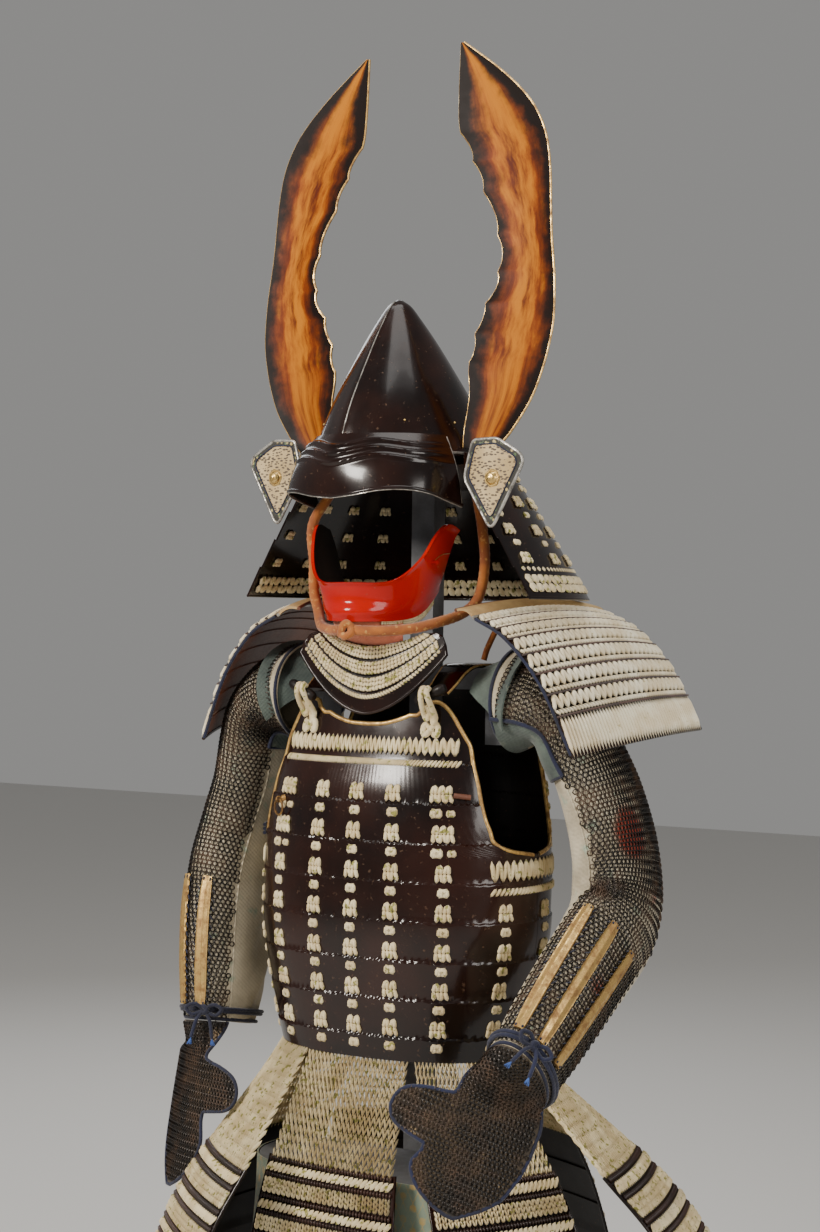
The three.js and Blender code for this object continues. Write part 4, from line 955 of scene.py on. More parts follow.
@dataclass(frozen=True)
class Leather(Finish):
    """Leather with a pebbled grain and darker patches."""

    ground: Colour = (0.55, 0.38, 0.17)
    shade: Colour = (0.30, 0.18, 0.075)
    rough: float = 0.5

    def dress(self, paint: Paint) -> None:
        """Builds the nodes."""
        at = paint.place()
        tone = paint.cloud(at, 14, 5, 0.6).steep(0.3, 0.72)
        grain = paint.cells(at, 420)
        paint.feed(Base_Color=paint.blend(tone, self.shade, self.ground))
        paint.feed(Roughness=self.rough + grain * 0.2)
        paint.bump(grain * 0.8 + paint.cloud(at, 60, 3), 0.0007, 0.5)


@dataclass(frozen=True)
class DashedLeather(Finish):
    """Pale printed leather strewn with small dark dashes."""

    ground: Colour = (0.60, 0.46, 0.25)
    shade: Colour = (0.44, 0.31, 0.14)
    dash: Colour = (0.05, 0.035, 0.03)

    def dress(self, paint: Paint) -> None:
        """Builds the nodes."""
        warp = paint.cloud(paint.place(), 45, 2)
        x, y, z = paint.parts(paint.place())
        lean = warp * 0.004
        spot = paint.node("ShaderNodeCombineXYZ", None, {0: (x + lean) * 1.0, 1: y * 0.2, 2: (z - lean) * 2.1})
        dashes = paint.cells(spot, 165)
        mark = 1 - dashes.steep(0.36, 0.45)
        tone = paint.cloud(paint.place(), 22, 4).steep(0.3, 0.7)
        paint.feed(Base_Color=paint.blend(mark * 0.92, paint.blend(tone, self.shade, self.ground), self.dash))
        paint.feed(Roughness=0.55 + tone * 0.15)
        paint.bump(paint.cells(paint.place(), 480), 0.0005, 0.4)


@dataclass(frozen=True)
class Mottle(Finish):
    """A border print of small green, gold and dark leaves."""

    base: Colour = (0.50, 0.38, 0.15)
    green: Colour = (0.085, 0.13, 0.06)
    dark: Colour = (0.03, 0.028, 0.022)

    def dress(self, paint: Paint) -> None:
        """Builds the nodes."""
        at = paint.place()
        leaf = paint.cells(at, 170).steep(0.25, 0.42)
        hue = paint.cloud(at, 110, 2).steep(0.46, 0.56)
        ground = paint.blend(hue, self.green, self.base)
        paint.feed(Base_Color=paint.blend(leaf, ground, self.dark), Roughness=0.5 + leaf * 0.2)
        paint.bump(leaf, 0.0004, 0.4)


@dataclass(frozen=True)
class Brocade(Finish):
    """Pale silk with a small repeating diamond figure in gold thread."""

    ground: Colour = (0.27, 0.34, 0.25)
    shade: Colour = (0.15, 0.20, 0.15)
    gold: Colour = (0.52, 0.36, 0.12)
    repeat: float = 0.026

    def dress(self, paint: Paint) -> None:
        """Builds the nodes."""
        u, v, _ = paint.parts(paint.chart("size"))
        turn = 2 * math.pi / self.repeat
        diamond = (u * turn).wave() * (v * turn).wave()
        frame_lines = abs((u * turn + v * turn * 0.5).wave()).least(abs((u * turn - v * turn * 0.5).wave()))
        figure = diamond.steep(0.42, 0.55).most((1 - frame_lines.steep(0.10, 0.18)) * 0.8)
        tone = paint.cloud(paint.place(), 12, 5, 0.6).steep(0.3, 0.7)
        worn = paint.cloud(paint.place(), 70, 5).steep(0.30, 0.62)
        ground = paint.blend(tone, self.shade, self.ground)
        paint.feed(Base_Color=paint.blend(figure * worn, ground, self.gold))
        paint.feed(Roughness=0.62 - figure * 0.14, Sheen_Weight=0.25)
        threads = (u * 7500.0).wave() * (v * 7500.0).wave()
        paint.bump(threads * 0.4 + figure * worn, 0.0005, 0.6)


@dataclass(frozen=True)
class Paintwork(Finish):
    """Matt paint with a fine texture and scuffs."""

    ground: Colour = (0.21, 0.215, 0.23)
    shade: Colour = (0.13, 0.13, 0.14)
    rough: float = 0.62

    def dress(self, paint: Paint) -> None:
        """Builds the nodes."""
        at = paint.place()
        tone = paint.cloud(at, 24, 5, 0.6).steep(0.35, 0.7)
        speck = paint.cloud(at, 300, 3)
        paint.feed(Base_Color=paint.blend(tone, self.shade, self.ground))
        paint.feed(Roughness=self.rough + speck * 0.2)
        paint.bump(speck, 0.0007, 0.6)


@dataclass(frozen=True)
class Timber(Finish):
    """Dark stained wood with grain along X."""

    ground: Colour = (0.065, 0.034, 0.018)
    shade: Colour = (0.022, 0.011, 0.007)

    def dress(self, paint: Paint) -> None:
        """Builds the nodes."""
        grain = paint.cloud(paint.place((2, 30, 30)), 3.0, 6, 0.6)
        pores = paint.cloud(paint.place((20, 500, 500)), 1.5, 3)
        paint.feed(Base_Color=paint.blend(grain.steep(0.3, 0.7), self.shade, self.ground))
        paint.feed(Roughness=0.32 + pores * 0.25, Coat_Weight=0.2)
        paint.bump(grain * 0.6 + pores * 0.5, 0.0006, 0.5)


@dataclass(frozen=True)
class Backdrop(Finish):
    """The plain pale floor."""

    ground: Colour = (0.62, 0.61, 0.59)

    def dress(self, paint: Paint) -> None:
        """Builds the nodes."""
        paint.feed(Base_Color=self.ground, Roughness=0.75)


LACQUER = Lacquer("brown_black_lacquer")
SOOT = Lacquer("dull_black_lacquer", (0.005, 0.0035, 0.003), (0.014, 0.008, 0.006), 0.4, 0.05, 0.2)
VERMILION = Lacquer("vermilion_lacquer", (0.40, 0.004, 0.002), (0.56, 0.010, 0.003), 0.08, 0.12, 0.22)
HORN = Horn("burnt_amber_lacquer")
GILT = Gilt("worn_gilt")
BRASS = Gilt("rubbed_brass", (0.66, 0.46, 0.17), (0.26, 0.16, 0.06), 0.42, 0.3)
BRONZE = Gilt("dark_bronze", (0.46, 0.26, 0.08), (0.09, 0.045, 0.018), 0.5, 0.3)
SILVER = Gilt("silvered_edge", (0.62, 0.60, 0.55), (0.10, 0.09, 0.08), 0.5, 0.3)
BRAID = Braid("cream_braid")
WHITE_BRAID = Braid("pale_braid", (0.90, 0.82, 0.62), (0.74, 0.62, 0.40), (0.55, 0.45, 0.22), 0.66)
BROWN_BRAID = Braid("brown_ribs", (0.085, 0.035, 0.022), (0.032, 0.014, 0.010), (0.14, 0.08, 0.05), 0.66)
RIB_LACQUER = Lacquer("ribbed_lacquer", (0.014, 0.006, 0.005), (0.05, 0.02, 0.013), 0.22, 0.3)
ORANGE = Braid("orange_cord", (0.43, 0.135, 0.018), (0.25, 0.062, 0.009), (0.50, 0.24, 0.06), 0.60)
SALMON = Cloth("salmon_cloth", (0.52, 0.165, 0.085), (0.36, 0.09, 0.045), (0.55, 0.28, 0.16))
NAVY = Cloth("navy_cloth", (0.009, 0.013, 0.045), (0.004, 0.005, 0.018), (0.016, 0.024, 0.07), 0.64)
BLUE = Cloth("frayed_blue", (0.05, 0.13, 0.42), (0.02, 0.05, 0.2), (0.1, 0.2, 0.5))
SAGE = Cloth("grey_green_cloth", (0.11, 0.14, 0.118), (0.035, 0.05, 0.045), (0.16, 0.18, 0.14))
LEATHER = Leather("tan_leather")
BROWN_LEATHER = Leather("brown_leather", (0.17, 0.055, 0.025), (0.085, 0.028, 0.014), 0.42)
DASHED = DashedLeather("dashed_leather")
MOTTLE = Mottle("leaf_border")
SILK = Brocade("green_brocade")
IRON = Iron("iron_links")
HAND_CLOTH = Cloth("hand_cloth", (0.10, 0.072, 0.042), (0.016, 0.013, 0.011), (0.34, 0.24, 0.13), 0.60)
SLEEVE_CLOTH = Cloth(
    "sleeve_cloth",
    (0.60, 0.53, 0.39),
    (0.33, 0.28, 0.19),
    (0.34, 0.40, 0.30),
    0.60,
    (0.36, 0.045, 0.022),
    ((0.30, 0.0, 0.88, 0.045), (0.285, -0.088, 0.712, 0.04), (0.30, 0.03, 0.80, 0.03)),
)
STAND = Paintwork("grey_paint")
BOARD = Timber("dark_timber")
FLOOR = Backdrop("pale_floor")


# ---------------------------------------------------------------- helmet


def bowl_spot(angle: Array, scale: Array, shift: Array, level: Array, inset: float) -> Array:
    """A point of the bowl.

    Args:
        angle: degrees from the front.
        scale: the ring's size over the brow's.
        shift: the ring's middle along Y.
        level: its height over the brow.
        inset: how far it lies inside the outer face.

    Returns:
        The points.
    """
    turn = np.radians(angle)
    folded = (angle + 540) % 360 - 180
    ridge = 1 + 0.045 * np.exp(-((folded / 10) ** 2))
    depth = np.where(np.cos(turn) > 0, 118.0, 105.0)
    side = 100 * scale * ridge - inset
    return stack(
        side * np.sin(turn),
        shift - (depth * scale * ridge - inset) * np.cos(turn),
        1335 + level - inset * 0.35,
    )


@dataclass
class Helmet:
    """The bowl, visor, neck guard, ear plates, horns and their laces."""

    rows: tuple[tuple[float, float, float], ...] = (
        (-17, 1.01, -10),
        (0, 1, -10),
        (30, 0.9, -12),
        (55, 0.79, -14),
        (98, 0.56, -18.5),
        (128, 0.39, -22),
        (155, 0.22, -25.5),
        (168, 0.125, -27),
        (174.6, 0.03, -28),
    )
    visor_edge: tuple[tuple[float, float, float, float], ...] = (
        (0, 0, -150, 1266),
        (0.2, 32, -149, 1269),
        (0.4, 63, -140, 1274),
        (0.62, 90, -123, 1275),
        (0.8, 106, -100, 1271),
        (0.9, 109, -72, 1264),
        (1, 110, -44, 1258),
    )
    guard: tuple[tuple[float, float, float, float], ...] = (
        (1321, 106, 110, 32),
        (1287, 130, 128, 54.5),
        (1253, 153, 147, 54.5),
        (1219, 176, 166, 54.5),
        (1185, 199, 184, 54.5),
        (1150, 222, 202, 54.5),
    )

    def bowl_patch(self) -> Patch:
        """The bowl's outer face, over the angle and the height."""
        scale = Curve(*[(h, s) for h, s, _ in self.rows])
        shift = Curve(*[(h, y) for h, _, y in self.rows])
        body = Patch(lambda a, h: bowl_spot(a, scale(h), shift(h), h, 0.0), 1.0, (0.1, 0.1))
        return body.yawed(HEAD_YAW)

    def make_bowl(self) -> None:
        """The bowl, its base band, its rivets and a painted highlight line up its front ridge."""
        patch = self.bowl_patch()
        levels = np.concatenate([np.linspace(-17, 160, 32), np.linspace(163, 174.6, 7)])
        angles = np.linspace(-180, 180, 97)[:-1]
        bowl = shell("bowl", patch, angles, levels, 3.0, LACQUER, SOOT, None, lambda u, v: u * 0 - 3.0, True, True)
        seat(bowl, "lacquer", "helmet_bowl")
        around = np.linspace(-180, 180, 145)[:-1]
        band = patch.lifted(around, np.full(144, -14.0), 0.6)
        seat(tube("bowl_band", band, 1.6, SILVER, 8, True), "gilt")
        studs = Swarm(Form.bead(8, 4))
        for angle in (-118, -78, -42, 42, 78, 118, 160, -160):
            place, first, second, out, _, _ = patch.frame(np.array([angle]), np.array([22.0]))
            studs.lay(place + out * 0.4, first * 1.5, second * 1.5, out * 1.2)
        seat(studs.build("bowl_studs", BRASS), "gilt")
        # A thin silvered tube up the front ridge is a painted highlight: it stands for the shine along the ridge, not a
        # real seam.
        heights = np.linspace(2, 172, 60)
        ridge_highlight_line = patch.lifted(np.zeros(60), heights, 0.3)
        seat(tube("bowl_ridge_highlight", ridge_highlight_line, 0.75, SILVER, 6), "gilt")

    def visor_patch(self) -> Patch:
        """The visor's inner face, over the share across and the share down."""
        x, y, z = (Curve(*[(row[0], row[k]) for row in self.visor_edge]) for k in (1, 2, 3))

        def place(u: Array, t: Array) -> Array:
            """A point of the visor."""
            top = bowl_spot(u * 68, 0.991, -10.2, 4.0, -SEAM - 1.6)
            low = stack(np.sign(u) * x(np.abs(u)), y(np.abs(u)), z(np.abs(u)))
            swell = 7 * np.sin(math.pi * t)
            spot = top + (low - top) * t[..., None]
            return spot + stack(np.sin(np.radians(u * 68)) * swell, -np.cos(np.radians(u * 68)) * swell, 0 * t)

        return Patch(place, -1.0).yawed(HEAD_YAW)

    def make_visor(self) -> None:
        """The visor with its raised brows and rolled edge."""
        patch = self.visor_patch()

        def brows(u: Array, t: Array) -> Array:
            """Three waving brow ridges."""
            bend = t - 0.035 * np.cos(np.abs(u) * 9.0) + 0.02
            wave = np.sin(math.pi * (bend - 0.12) / 0.14) ** 4
            return 2.8 * wave * ((bend > 0.12) & (bend < 0.54)) * (1 - np.abs(u) ** 3)

        visor = shell("visor_plate", patch, np.linspace(-1, 1, 61), np.linspace(0, 1, 61), 2.4, LACQUER, SOOT, brows)
        seat(visor, "lacquer", "visor")
        line = np.linspace(-1, 1, 90)
        edge = patch.lifted(line, np.full(90, 0.995), 1.2)
        seat(tube("visor_roll", edge, 2.3, LACQUER, 10), "lacquer")
        lip = patch.lifted(line, np.full(90, 1.0), 1.0) + [0, 0, -1.9]
        seat(tube("visor_silver", lip, 0.9, SILVER, 6), "gilt")
        ends = np.linspace(0.02, 0.99, 30)
        for side in (-1, 1):
            rim = patch.lifted(np.full(30, side * 0.995), ends, 1.2)
            seat(tube(f"visor_end_{'left' if side > 0 else 'right'}", rim, 1.5, SILVER, 6), "gilt")

    def guard_patch(self) -> Patch:
        """The neck guard's inner face, over the share round and the level."""
        levels = [row[0] for row in self.guard][::-1]
        side, back, front = ([row[k] for row in self.guard][::-1] for k in (1, 2, 3))

        def place(u: Array, z: Array) -> Array:
            """A point of the neck guard."""
            s, b, f = np.interp(z, levels, side), np.interp(z, levels, back), np.interp(z, levels, front)
            turn = np.radians(u * (90 + np.degrees(np.arcsin(f / (s * 1.2)))))
            depth = np.where(np.cos(turn) > 0, b, s * 1.2)
            return stack(s * np.sin(turn), depth * np.cos(turn), z)

        return Patch(place, -1.0, (1e-3, 0.1)).yawed(HEAD_YAW)

    def make_guard(self) -> None:
        """The neck guard's lames with laces outside and in."""
        patch = self.guard_patch()
        tops = [row[0] for row in self.guard]

        def step(u: Array, z: Array) -> Array:
            """How far a lame stands out."""
            lift = np.zeros(z.shape)
            for high, low in zip(tops[1:-1], tops[2:]):
                inside = (z < high) & (z >= low)
                lift = np.where(inside, 2.2 * (z - low) / (high - low), lift)
            return lift

        levels = []
        for high, low in zip(tops[:-1], tops[1:]):
            levels += list(np.linspace(high - 0.6, low + 0.2, 7))
        levels = np.array([1321.0] + levels[1:] + [1150.0])[::-1]
        guard = shell("neck_lames", patch, np.linspace(-1, 1, 91), levels, PLATE, LACQUER, LACQUER, None, step)
        seat(guard, "lacquer", "neck_guard")
        outside, inside = Swarm(Form.bead()), Swarm(Form.bead())
        for k, (high, low) in enumerate(zip(tops[:-1], tops[1:])):
            middle = (high + low) / 2
            count = 13
            for i in range(count):
                u = -0.94 + 1.88 * i / (count - 1)
                if k < 4:
                    outside.knot(patch, u, low + 9, 15, 15, 4, PLATE + 2.6, 2.8)
                    inside.knot(patch, u, low + 8, 13, 12, 4, -1.4, 2.2)
                    outside.cross(patch, u, high - 7, 11, PLATE + 2.2)
        for swarm, lift in ((outside, PLATE + 1.4), (inside, -1.6)):
            swarm.span(patch, (-0.985, 0.985), (1155, 1175), 82, 2, Slant.CHEVRON, lift, 2.2)
        outside.span(patch, (-0.985, 0.985), (1179, 1184), 96, 1, Slant.ROPE, PLATE + 1.2, 1.8, 1.3)
        seat(outside.build("neck_laces_outer", BRAID), "lacing")
        seat(inside.build("neck_laces_inner", BRAID), "lacing")
        foot = patch.lifted(np.linspace(-1, 1, 110), np.full(110, 1150.0), 1.25) + [0, 0, -0.4]
        seat(tube("neck_hem", foot, 1.9, LACQUER, 8), "lacquer")

    def make_ears(self) -> None:
        """The two ear plates with their borders, rims and knobs."""
        corners = ((138, 1342, 6), (173, 1343, 6), (214, 1320, 14), (166, 1236, 12), (126, 1298, 8))
        line = []
        for i, (x, z, reach) in enumerate(corners):
            here = np.array([x, z], float)
            before = np.array(corners[i - 1][:2], float) - here
            after = np.array(corners[(i + 1) % 5][:2], float) - here
            a, b = here + before / np.linalg.norm(before) * reach, here + after / np.linalg.norm(after) * reach
            for t in np.linspace(0, 1, 8):
                line.append((1 - t) ** 2 * a + 2 * t * (1 - t) * here + t**2 * b)
        outline = np.array(line)
        middle = outline.mean(0)
        count = len(outline)
        for name, side, drop in (("left", 1, 9.0), ("right", -1, 0.0)):
            rings = []
            for share, y in ((1.0, -57.3), (1.0, -60.3), (0.985, -61.0), (0.84, -61.4), (0.82, -60.9), (0.4, -62.2)):
                spot = middle + (outline - middle) * share
                rings.append(stack(spot[:, 0] * side, np.full(count, y), spot[:, 1] - drop))
            points = turned(np.concatenate(rings), HEAD_YAW)
            grid = np.arange(6 * count).reshape(6, count)
            quads = [np.stack([grid[k], np.roll(grid[k], -1), np.roll(grid[k + 1], -1), grid[k + 1]], -1) for k in range(5)]
            faces = quads + [grid[0][None, ::-1], grid[5][None, :]]
            if side < 0:
                faces = [f[:, ::-1] for f in faces]
            plate = add_mesh(f"ear_plate_{name}", points, faces, [SOOT, MOTTLE, DASHED], [0, 0, 1, 1, 2, 0, 2])
            seat(plate, "spotted", f"turnback_{name}")
            spot = np.vstack([outline, outline[:1]])
            ring = stack(spot[:-1, 0] * side, np.full(count, -60.2), spot[:-1, 1] - drop)
            seat(tube(f"ear_rim_{name}", turned(ring, HEAD_YAW), 2.0, SILVER, 8, True), "gilt")
            inner = middle + (outline - middle) * 0.83
            bead = stack(inner[:, 0] * side, np.full(count, -61.6), inner[:, 1] - drop)
            seat(tube(f"ear_bead_{name}", turned(bead, HEAD_YAW), 0.9, NAVY, 6, True), "navy")
            self.make_knob(name, side, drop)

    def make_knob(self, name: str, side: int, drop: float) -> None:
        """A stepped brass dome on an ear plate.

        Args:
            name: the side's name.
            side: 1 or -1.
            drop: how far its plate hangs lower.
        """
        profile = ((10.5, 0), (10.5, 1.2), (9.6, 1.9), (8.2, 1.9), (7.8, 2.6), (6.8, 4.6), (4.6, 6.2), (3.2, 6.4), (2.6, 7.4), (0.8, 8.0))
        turn = np.linspace(0, 2 * math.pi, 28, endpoint=False)
        rings = []
        for radius, rise in profile:
            petal = 1 + 0.05 * np.cos(turn * 7) * (radius > 7)
            rings.append(stack(168 * side + radius * petal * np.cos(turn), np.full(28, -61.4 - rise), 1297 - drop + radius * petal * np.sin(turn)))
        points = turned(np.concatenate(rings), HEAD_YAW)
        grid = np.arange(len(profile) * 28).reshape(len(profile), 28)
        quads = np.stack([grid[:-1], np.roll(grid[:-1], -1, 1), np.roll(grid[1:], -1, 1), grid[1:]], -1).reshape(-1, 4)
        faces = [quads, grid[0][None, ::-1], grid[-1][None, :]]
        seat(add_mesh(f"knob_{name}_dome", points, faces, [BRASS]), "gilt", f"knob_{name}")

    def make_horns(self) -> None:
        """The two horns with their gilt edges."""
        outer = Curve((1327, 150), (1345, 169), (1390, 200), (1458, 221), (1515, 222), (1573, 215), (1677, 205), (1726, 183), (1769, 140), (1817, 74.5))
        inner = Curve(
            (1327, 102), (1345, 102), (1390, 108), (1421, 105), (1458, 110), (1488, 121), (1531, 141),
            (1580, 138), (1634, 114), (1677, 94), (1708, 77), (1740, 73), (1817, 72),
        )
        cusps = np.array([1429, 1462, 1497, 1534, 1578, 1632, 1670, 1707], float)

        def place(u: Array, z: Array) -> Array:
            """A point of the horn's front face."""
            i = np.clip(np.searchsorted(cusps, z) - 1, 0, len(cusps) - 2)
            share = (z - cusps[i]) / (cusps[i + 1] - cusps[i])
            bite = np.where((z > cusps[0]) & (z < cusps[-1]), 5.5 * np.abs(np.sin(math.pi * share)) ** 0.7, 0)
            x = inner(z) + bite + (outer(z) - inner(z) - bite) * u
            dish = 5 * (1 - (2 * u - 1) ** 2) * np.minimum(1, (1817 - z) / 120)
            return stack(x, -31 + 0.0485 * (z - 1327) + dish, z)

        body = Patch(place, 1.0, (1e-3, 0.05))
        levels = np.concatenate([np.linspace(1327, 1426, 14), np.linspace(1429, 1707, 99), np.linspace(1710, 1816.4, 16)])
        for name, patch in (("left", body), ("right", body.mirrored())):
            patch = patch.yawed(HEAD_YAW)
            blade = shell(f"horn_blade_{name}", patch, np.linspace(0, 1, 11), levels, 4.0, HORN, None, None, lambda u, v: u * 0 - 4.0)
            seat(blade, "horn", f"horn_{name}")
            for edge, u in (("outer", 1.0), ("inner", 0.0)):
                line = patch.lifted(np.full(len(levels), u), levels, -2.0)
                seat(tube(f"horn_{edge}_edge_{name}", line, 1.5, GILT, 6), "gilt")

    def build(self) -> None:
        """Makes the helmet."""
        self.make_bowl()
        self.make_visor()
        self.make_guard()
        self.make_ears()
        self.make_horns()


# ---------------------------------------------------------------- face and throat


@dataclass
class FaceArmour:
    """The half mask, the throat guard, the cloth between them and the helmet's cord."""

    edge: tuple[tuple[float, float, float], ...] = (
        (0, 1166, 1121),
        (25, 1169, 1122),
        (45, 1195, 1126),
        (60, 1225, 1133),
        (75, 1238, 1143),
        (98, 1233, 1158),
    )
    form: tuple[tuple[float, float, float], ...] = (
        (0, 0.92, 0.74),
        (0.2, 0.945, 0.79),
        (0.5, 0.935, 0.88),
        (0.8, 0.955, 0.95),
        (1, 0.98, 1),
    )
    throat: tuple[tuple[float, float, float, float], ...] = (
        (1091, -84, 68, 12),
        (1071, -88, 84, 34),
        (1052, -91, 93, 50),
        (1032, -94, 99, 61),
        (1010, -97, 103, 71),
    )
    cord_left: tuple[tuple[float, float, float], ...] = (
        (0.087, -0.012, 1.320),
        (0.095, -0.008, 1.280),
        (0.100, 0.000, 1.235),
        (0.101, 0.006, 1.190),
        (0.096, 0.000, 1.150),
        (0.088, -0.020, 1.132),
        (0.074, -0.056, 1.120),
        (0.054, -0.086, 1.112),
        (0.030, -0.108, 1.109),
        (0.008, -0.121, 1.109),
        (-0.007, -0.123, 1.110),
    )
    cord_right: tuple[tuple[float, float, float], ...] = (
        (-0.088, -0.018, 1.320),
        (-0.097, -0.030, 1.280),
        (-0.1125, -0.0475, 1.238),
        (-0.110, -0.048, 1.190),
        (-0.105, -0.054, 1.155),
        (-0.094, -0.061, 1.133),
        (-0.080, -0.077, 1.119),
        (-0.062, -0.097, 1.112),
        (-0.040, -0.113, 1.109),
        (-0.022, -0.122, 1.109),
        (-0.010, -0.123, 1.110),
    )

    def mask_patch(self) -> Patch:
        """The mask's inner face, over the angle and the share up."""
        top = Curve(*[(a, t) for a, t, _ in self.edge])
        bottom = Curve(*[(a, b) for a, _, b in self.edge])
        scale = Curve(*[(t, s) for t, s, _ in self.form])
        wide = Curve(*[(t, w) for t, _, w in self.form])

        def place(angle: Array, t: Array) -> Array:
            """A point of the mask."""
            turn = np.radians(angle)
            side = 87 * wide(t)
            chin = 3.5 * np.exp(-((angle / 26) ** 2)) * np.exp(-(((t - 0.22) / 0.2) ** 2))
            reach = ((np.sin(turn) / side) ** 2 + (np.cos(turn) / 120) ** 2) ** -0.5 * scale(t) + chin
            low, high = bottom(np.abs(angle)), top(np.abs(angle))
            return stack(reach * np.sin(turn), -reach * np.cos(turn), low + (high - low) * t)

        return Patch(place, 1.0, (0.1, 1e-3)).yawed(FACE_YAW, FACE_SHIFT)

    def make_mask(self) -> None:
        """The mask, red outside and dark inside, with its lips, pegs and line."""
        patch = self.mask_patch()

        def lips(angle: Array, t: Array) -> Array:
            """The rolled lips along the mask's edges."""
            return 1.6 * np.exp(-(((1 - t) / 0.05) ** 2)) + 1.8 * np.exp(-((t / 0.07) ** 2))

        body = shell("mask_shell", patch, np.linspace(-98, 98, 85), np.linspace(0, 1, 31), 2.2, VERMILION, SOOT, lips)
        seat(body, "vermilion", "mask")
        for name, side in (("left", 1), ("right", -1)):
            place, _, _, out, _, _ = patch.frame(np.array([62.0 * side]), np.array([0.62]))
            aim = unit(out + turned(np.array([[0.3 * side, -0.2, 0.15]]), FACE_YAW))
            path = np.concatenate([place + aim * d for d in (1.5, 4, 7, 9.5, 11)])
            peg = tube(f"mask_peg_{name}", path, np.array([2.7, 2.5, 2.3, 2.9, 2.0]), VERMILION, 12)
            seat(peg, "vermilion")
        line = patch.lifted(np.linspace(64, 97, 24), np.linspace(0.60, 0.62, 24), 2.5)
        seat(tube("mask_gold_line", line, 0.5, GILT, 6), "gilt")
        braid = Swarm(Form.bead())
        braid.span(patch, (18, 88), (-0.11, -0.01), 44, 2, Slant.CHEVRON, 1.0, 1.8)
        seat(braid.build("mask_braid", BRAID), "lacing")

    def throat_patch(self) -> Patch:
        """The throat guard's inner face, over the share across and the share down."""
        index = np.arange(len(self.throat))
        z, y, half, rise = ([row[k] for row in self.throat] for k in range(4))

        def place(u: Array, s: Array) -> Array:
            """A point of the throat guard; s counts lames from the top."""
            lift = np.interp(s, index, rise) * np.abs(u) ** 1.8
            return stack(u * np.interp(s, index, half), np.interp(s, index, y) + 15 * u**2, np.interp(s, index, z) + lift)

        return Patch(place, -1.0, (1e-3, 1e-3))

    def make_throat(self) -> None:
        """The throat guard's four lames with dense braid and dark edges."""
        patch = self.throat_patch()

        def step(u: Array, s: Array) -> Array:
            """How far a lame stands out at its top."""
            return np.where((s > 1.0) & (s < 4.01), 2.6 * (np.ceil(s) - s), 0)

        rows = np.concatenate([np.linspace(k + 0.001, k + 1, 6) for k in range(4)])
        guard = shell("throat_lames", patch, np.linspace(-1, 1, 61), rows, PLATE, LACQUER, SOOT, None, step)
        seat(guard, "lacing", "throat_guard")
        braid = Swarm(Form.bead())
        for k, (low, high) in enumerate(((0.06, 0.84), (1.0, 1.80), (2.0, 2.80))):
            braid.span(patch, (-0.95, 0.95), (low, high), 34 + 4 * k, 3, Slant.CHEVRON, PLATE + 2.6, 2.3)
        braid.span(patch, (-0.95, 0.95), (2.98, 3.25), 52, 1, Slant.ROPE, PLATE + 2.4, 2.2, 1.3)
        seat(braid.build("throat_braid", BRAID), "lacing")
        for k in range(1, 5):
            u = np.linspace(-0.99, 0.99, 60)
            line = patch.lifted(u, np.full(60, k - 0.04), 2.6)
            seat(tube(f"throat_edge_{k}", line, 2.2, LACQUER, 8), "lacquer")
        for name, side in (("left", 0.995), ("right", -0.995)):
            line = patch.lifted(np.full(40, side), np.linspace(0.03, 3.97, 40), 1.8)
            seat(tube(f"throat_side_{name}", line, 2.0, LACQUER, 8), "lacquer")

    def make_cloth(self) -> None:
        """The padded cloth under the chin."""
        mask, throat = self.mask_patch(), self.throat_patch()

        def place(u: Array, t: Array) -> Array:
            """A point of the chin cloth."""
            upper = mask.lifted(u * 38, np.zeros(u.shape), -4.7) + [0, 0, 1.5]
            lower = throat.place(u * 0.66 - 0.06, np.zeros(u.shape)) + [0, 0, 1.4]
            return lower + (upper - lower) * t[..., None]

        def puff(u: Array, t: Array) -> Array:
            """Gathers of the cloth."""
            return 1.6 * np.sin(math.pi * t) + 0.7 * crumple(u * 14, t * 3, 5, 6, 2.0) * np.sin(math.pi * t)

        cloth = shell("chin_pad", Patch(place, 1.0), np.linspace(-0.98, 0.98, 41), np.linspace(0, 1, 15), CLOTH, SALMON, None, None, puff)
        seat(cloth, "salmon", "chin_cloth")

    def make_cords(self) -> None:
        """The helmet's cord: two padded lengths that meet in a knot under the chin."""
        for name, route in (("left", self.cord_left), ("right", self.cord_right)):
            path = smooth_path(np.array(route) / MM, 90)
            piece = tube(f"chin_cord_{name}", path, 6.6, ORANGE, 20, False, 1.0, 4, 34.0)
            seat(piece, "orange", f"helmet_cord_{name}")
            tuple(route[0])
        knot = smooth_path([(-17, -127, 1103), (-13, -132, 1110), (-9, -131, 1117), (-4, -127, 1114), (-2, -129, 1106), (-7, -133, 1102), (-13, -131, 1104)], 36)
        seat(tube("chin_knot", knot, 5.0, ORANGE, 14, False, 1.0, 4, 30.0), "orange")

    def build(self) -> None:
        """Makes the face and throat pieces."""
        self.make_cords()
        self.make_mask()
        self.make_throat()
        self.make_cloth()


# ---------------------------------------------------------------- body


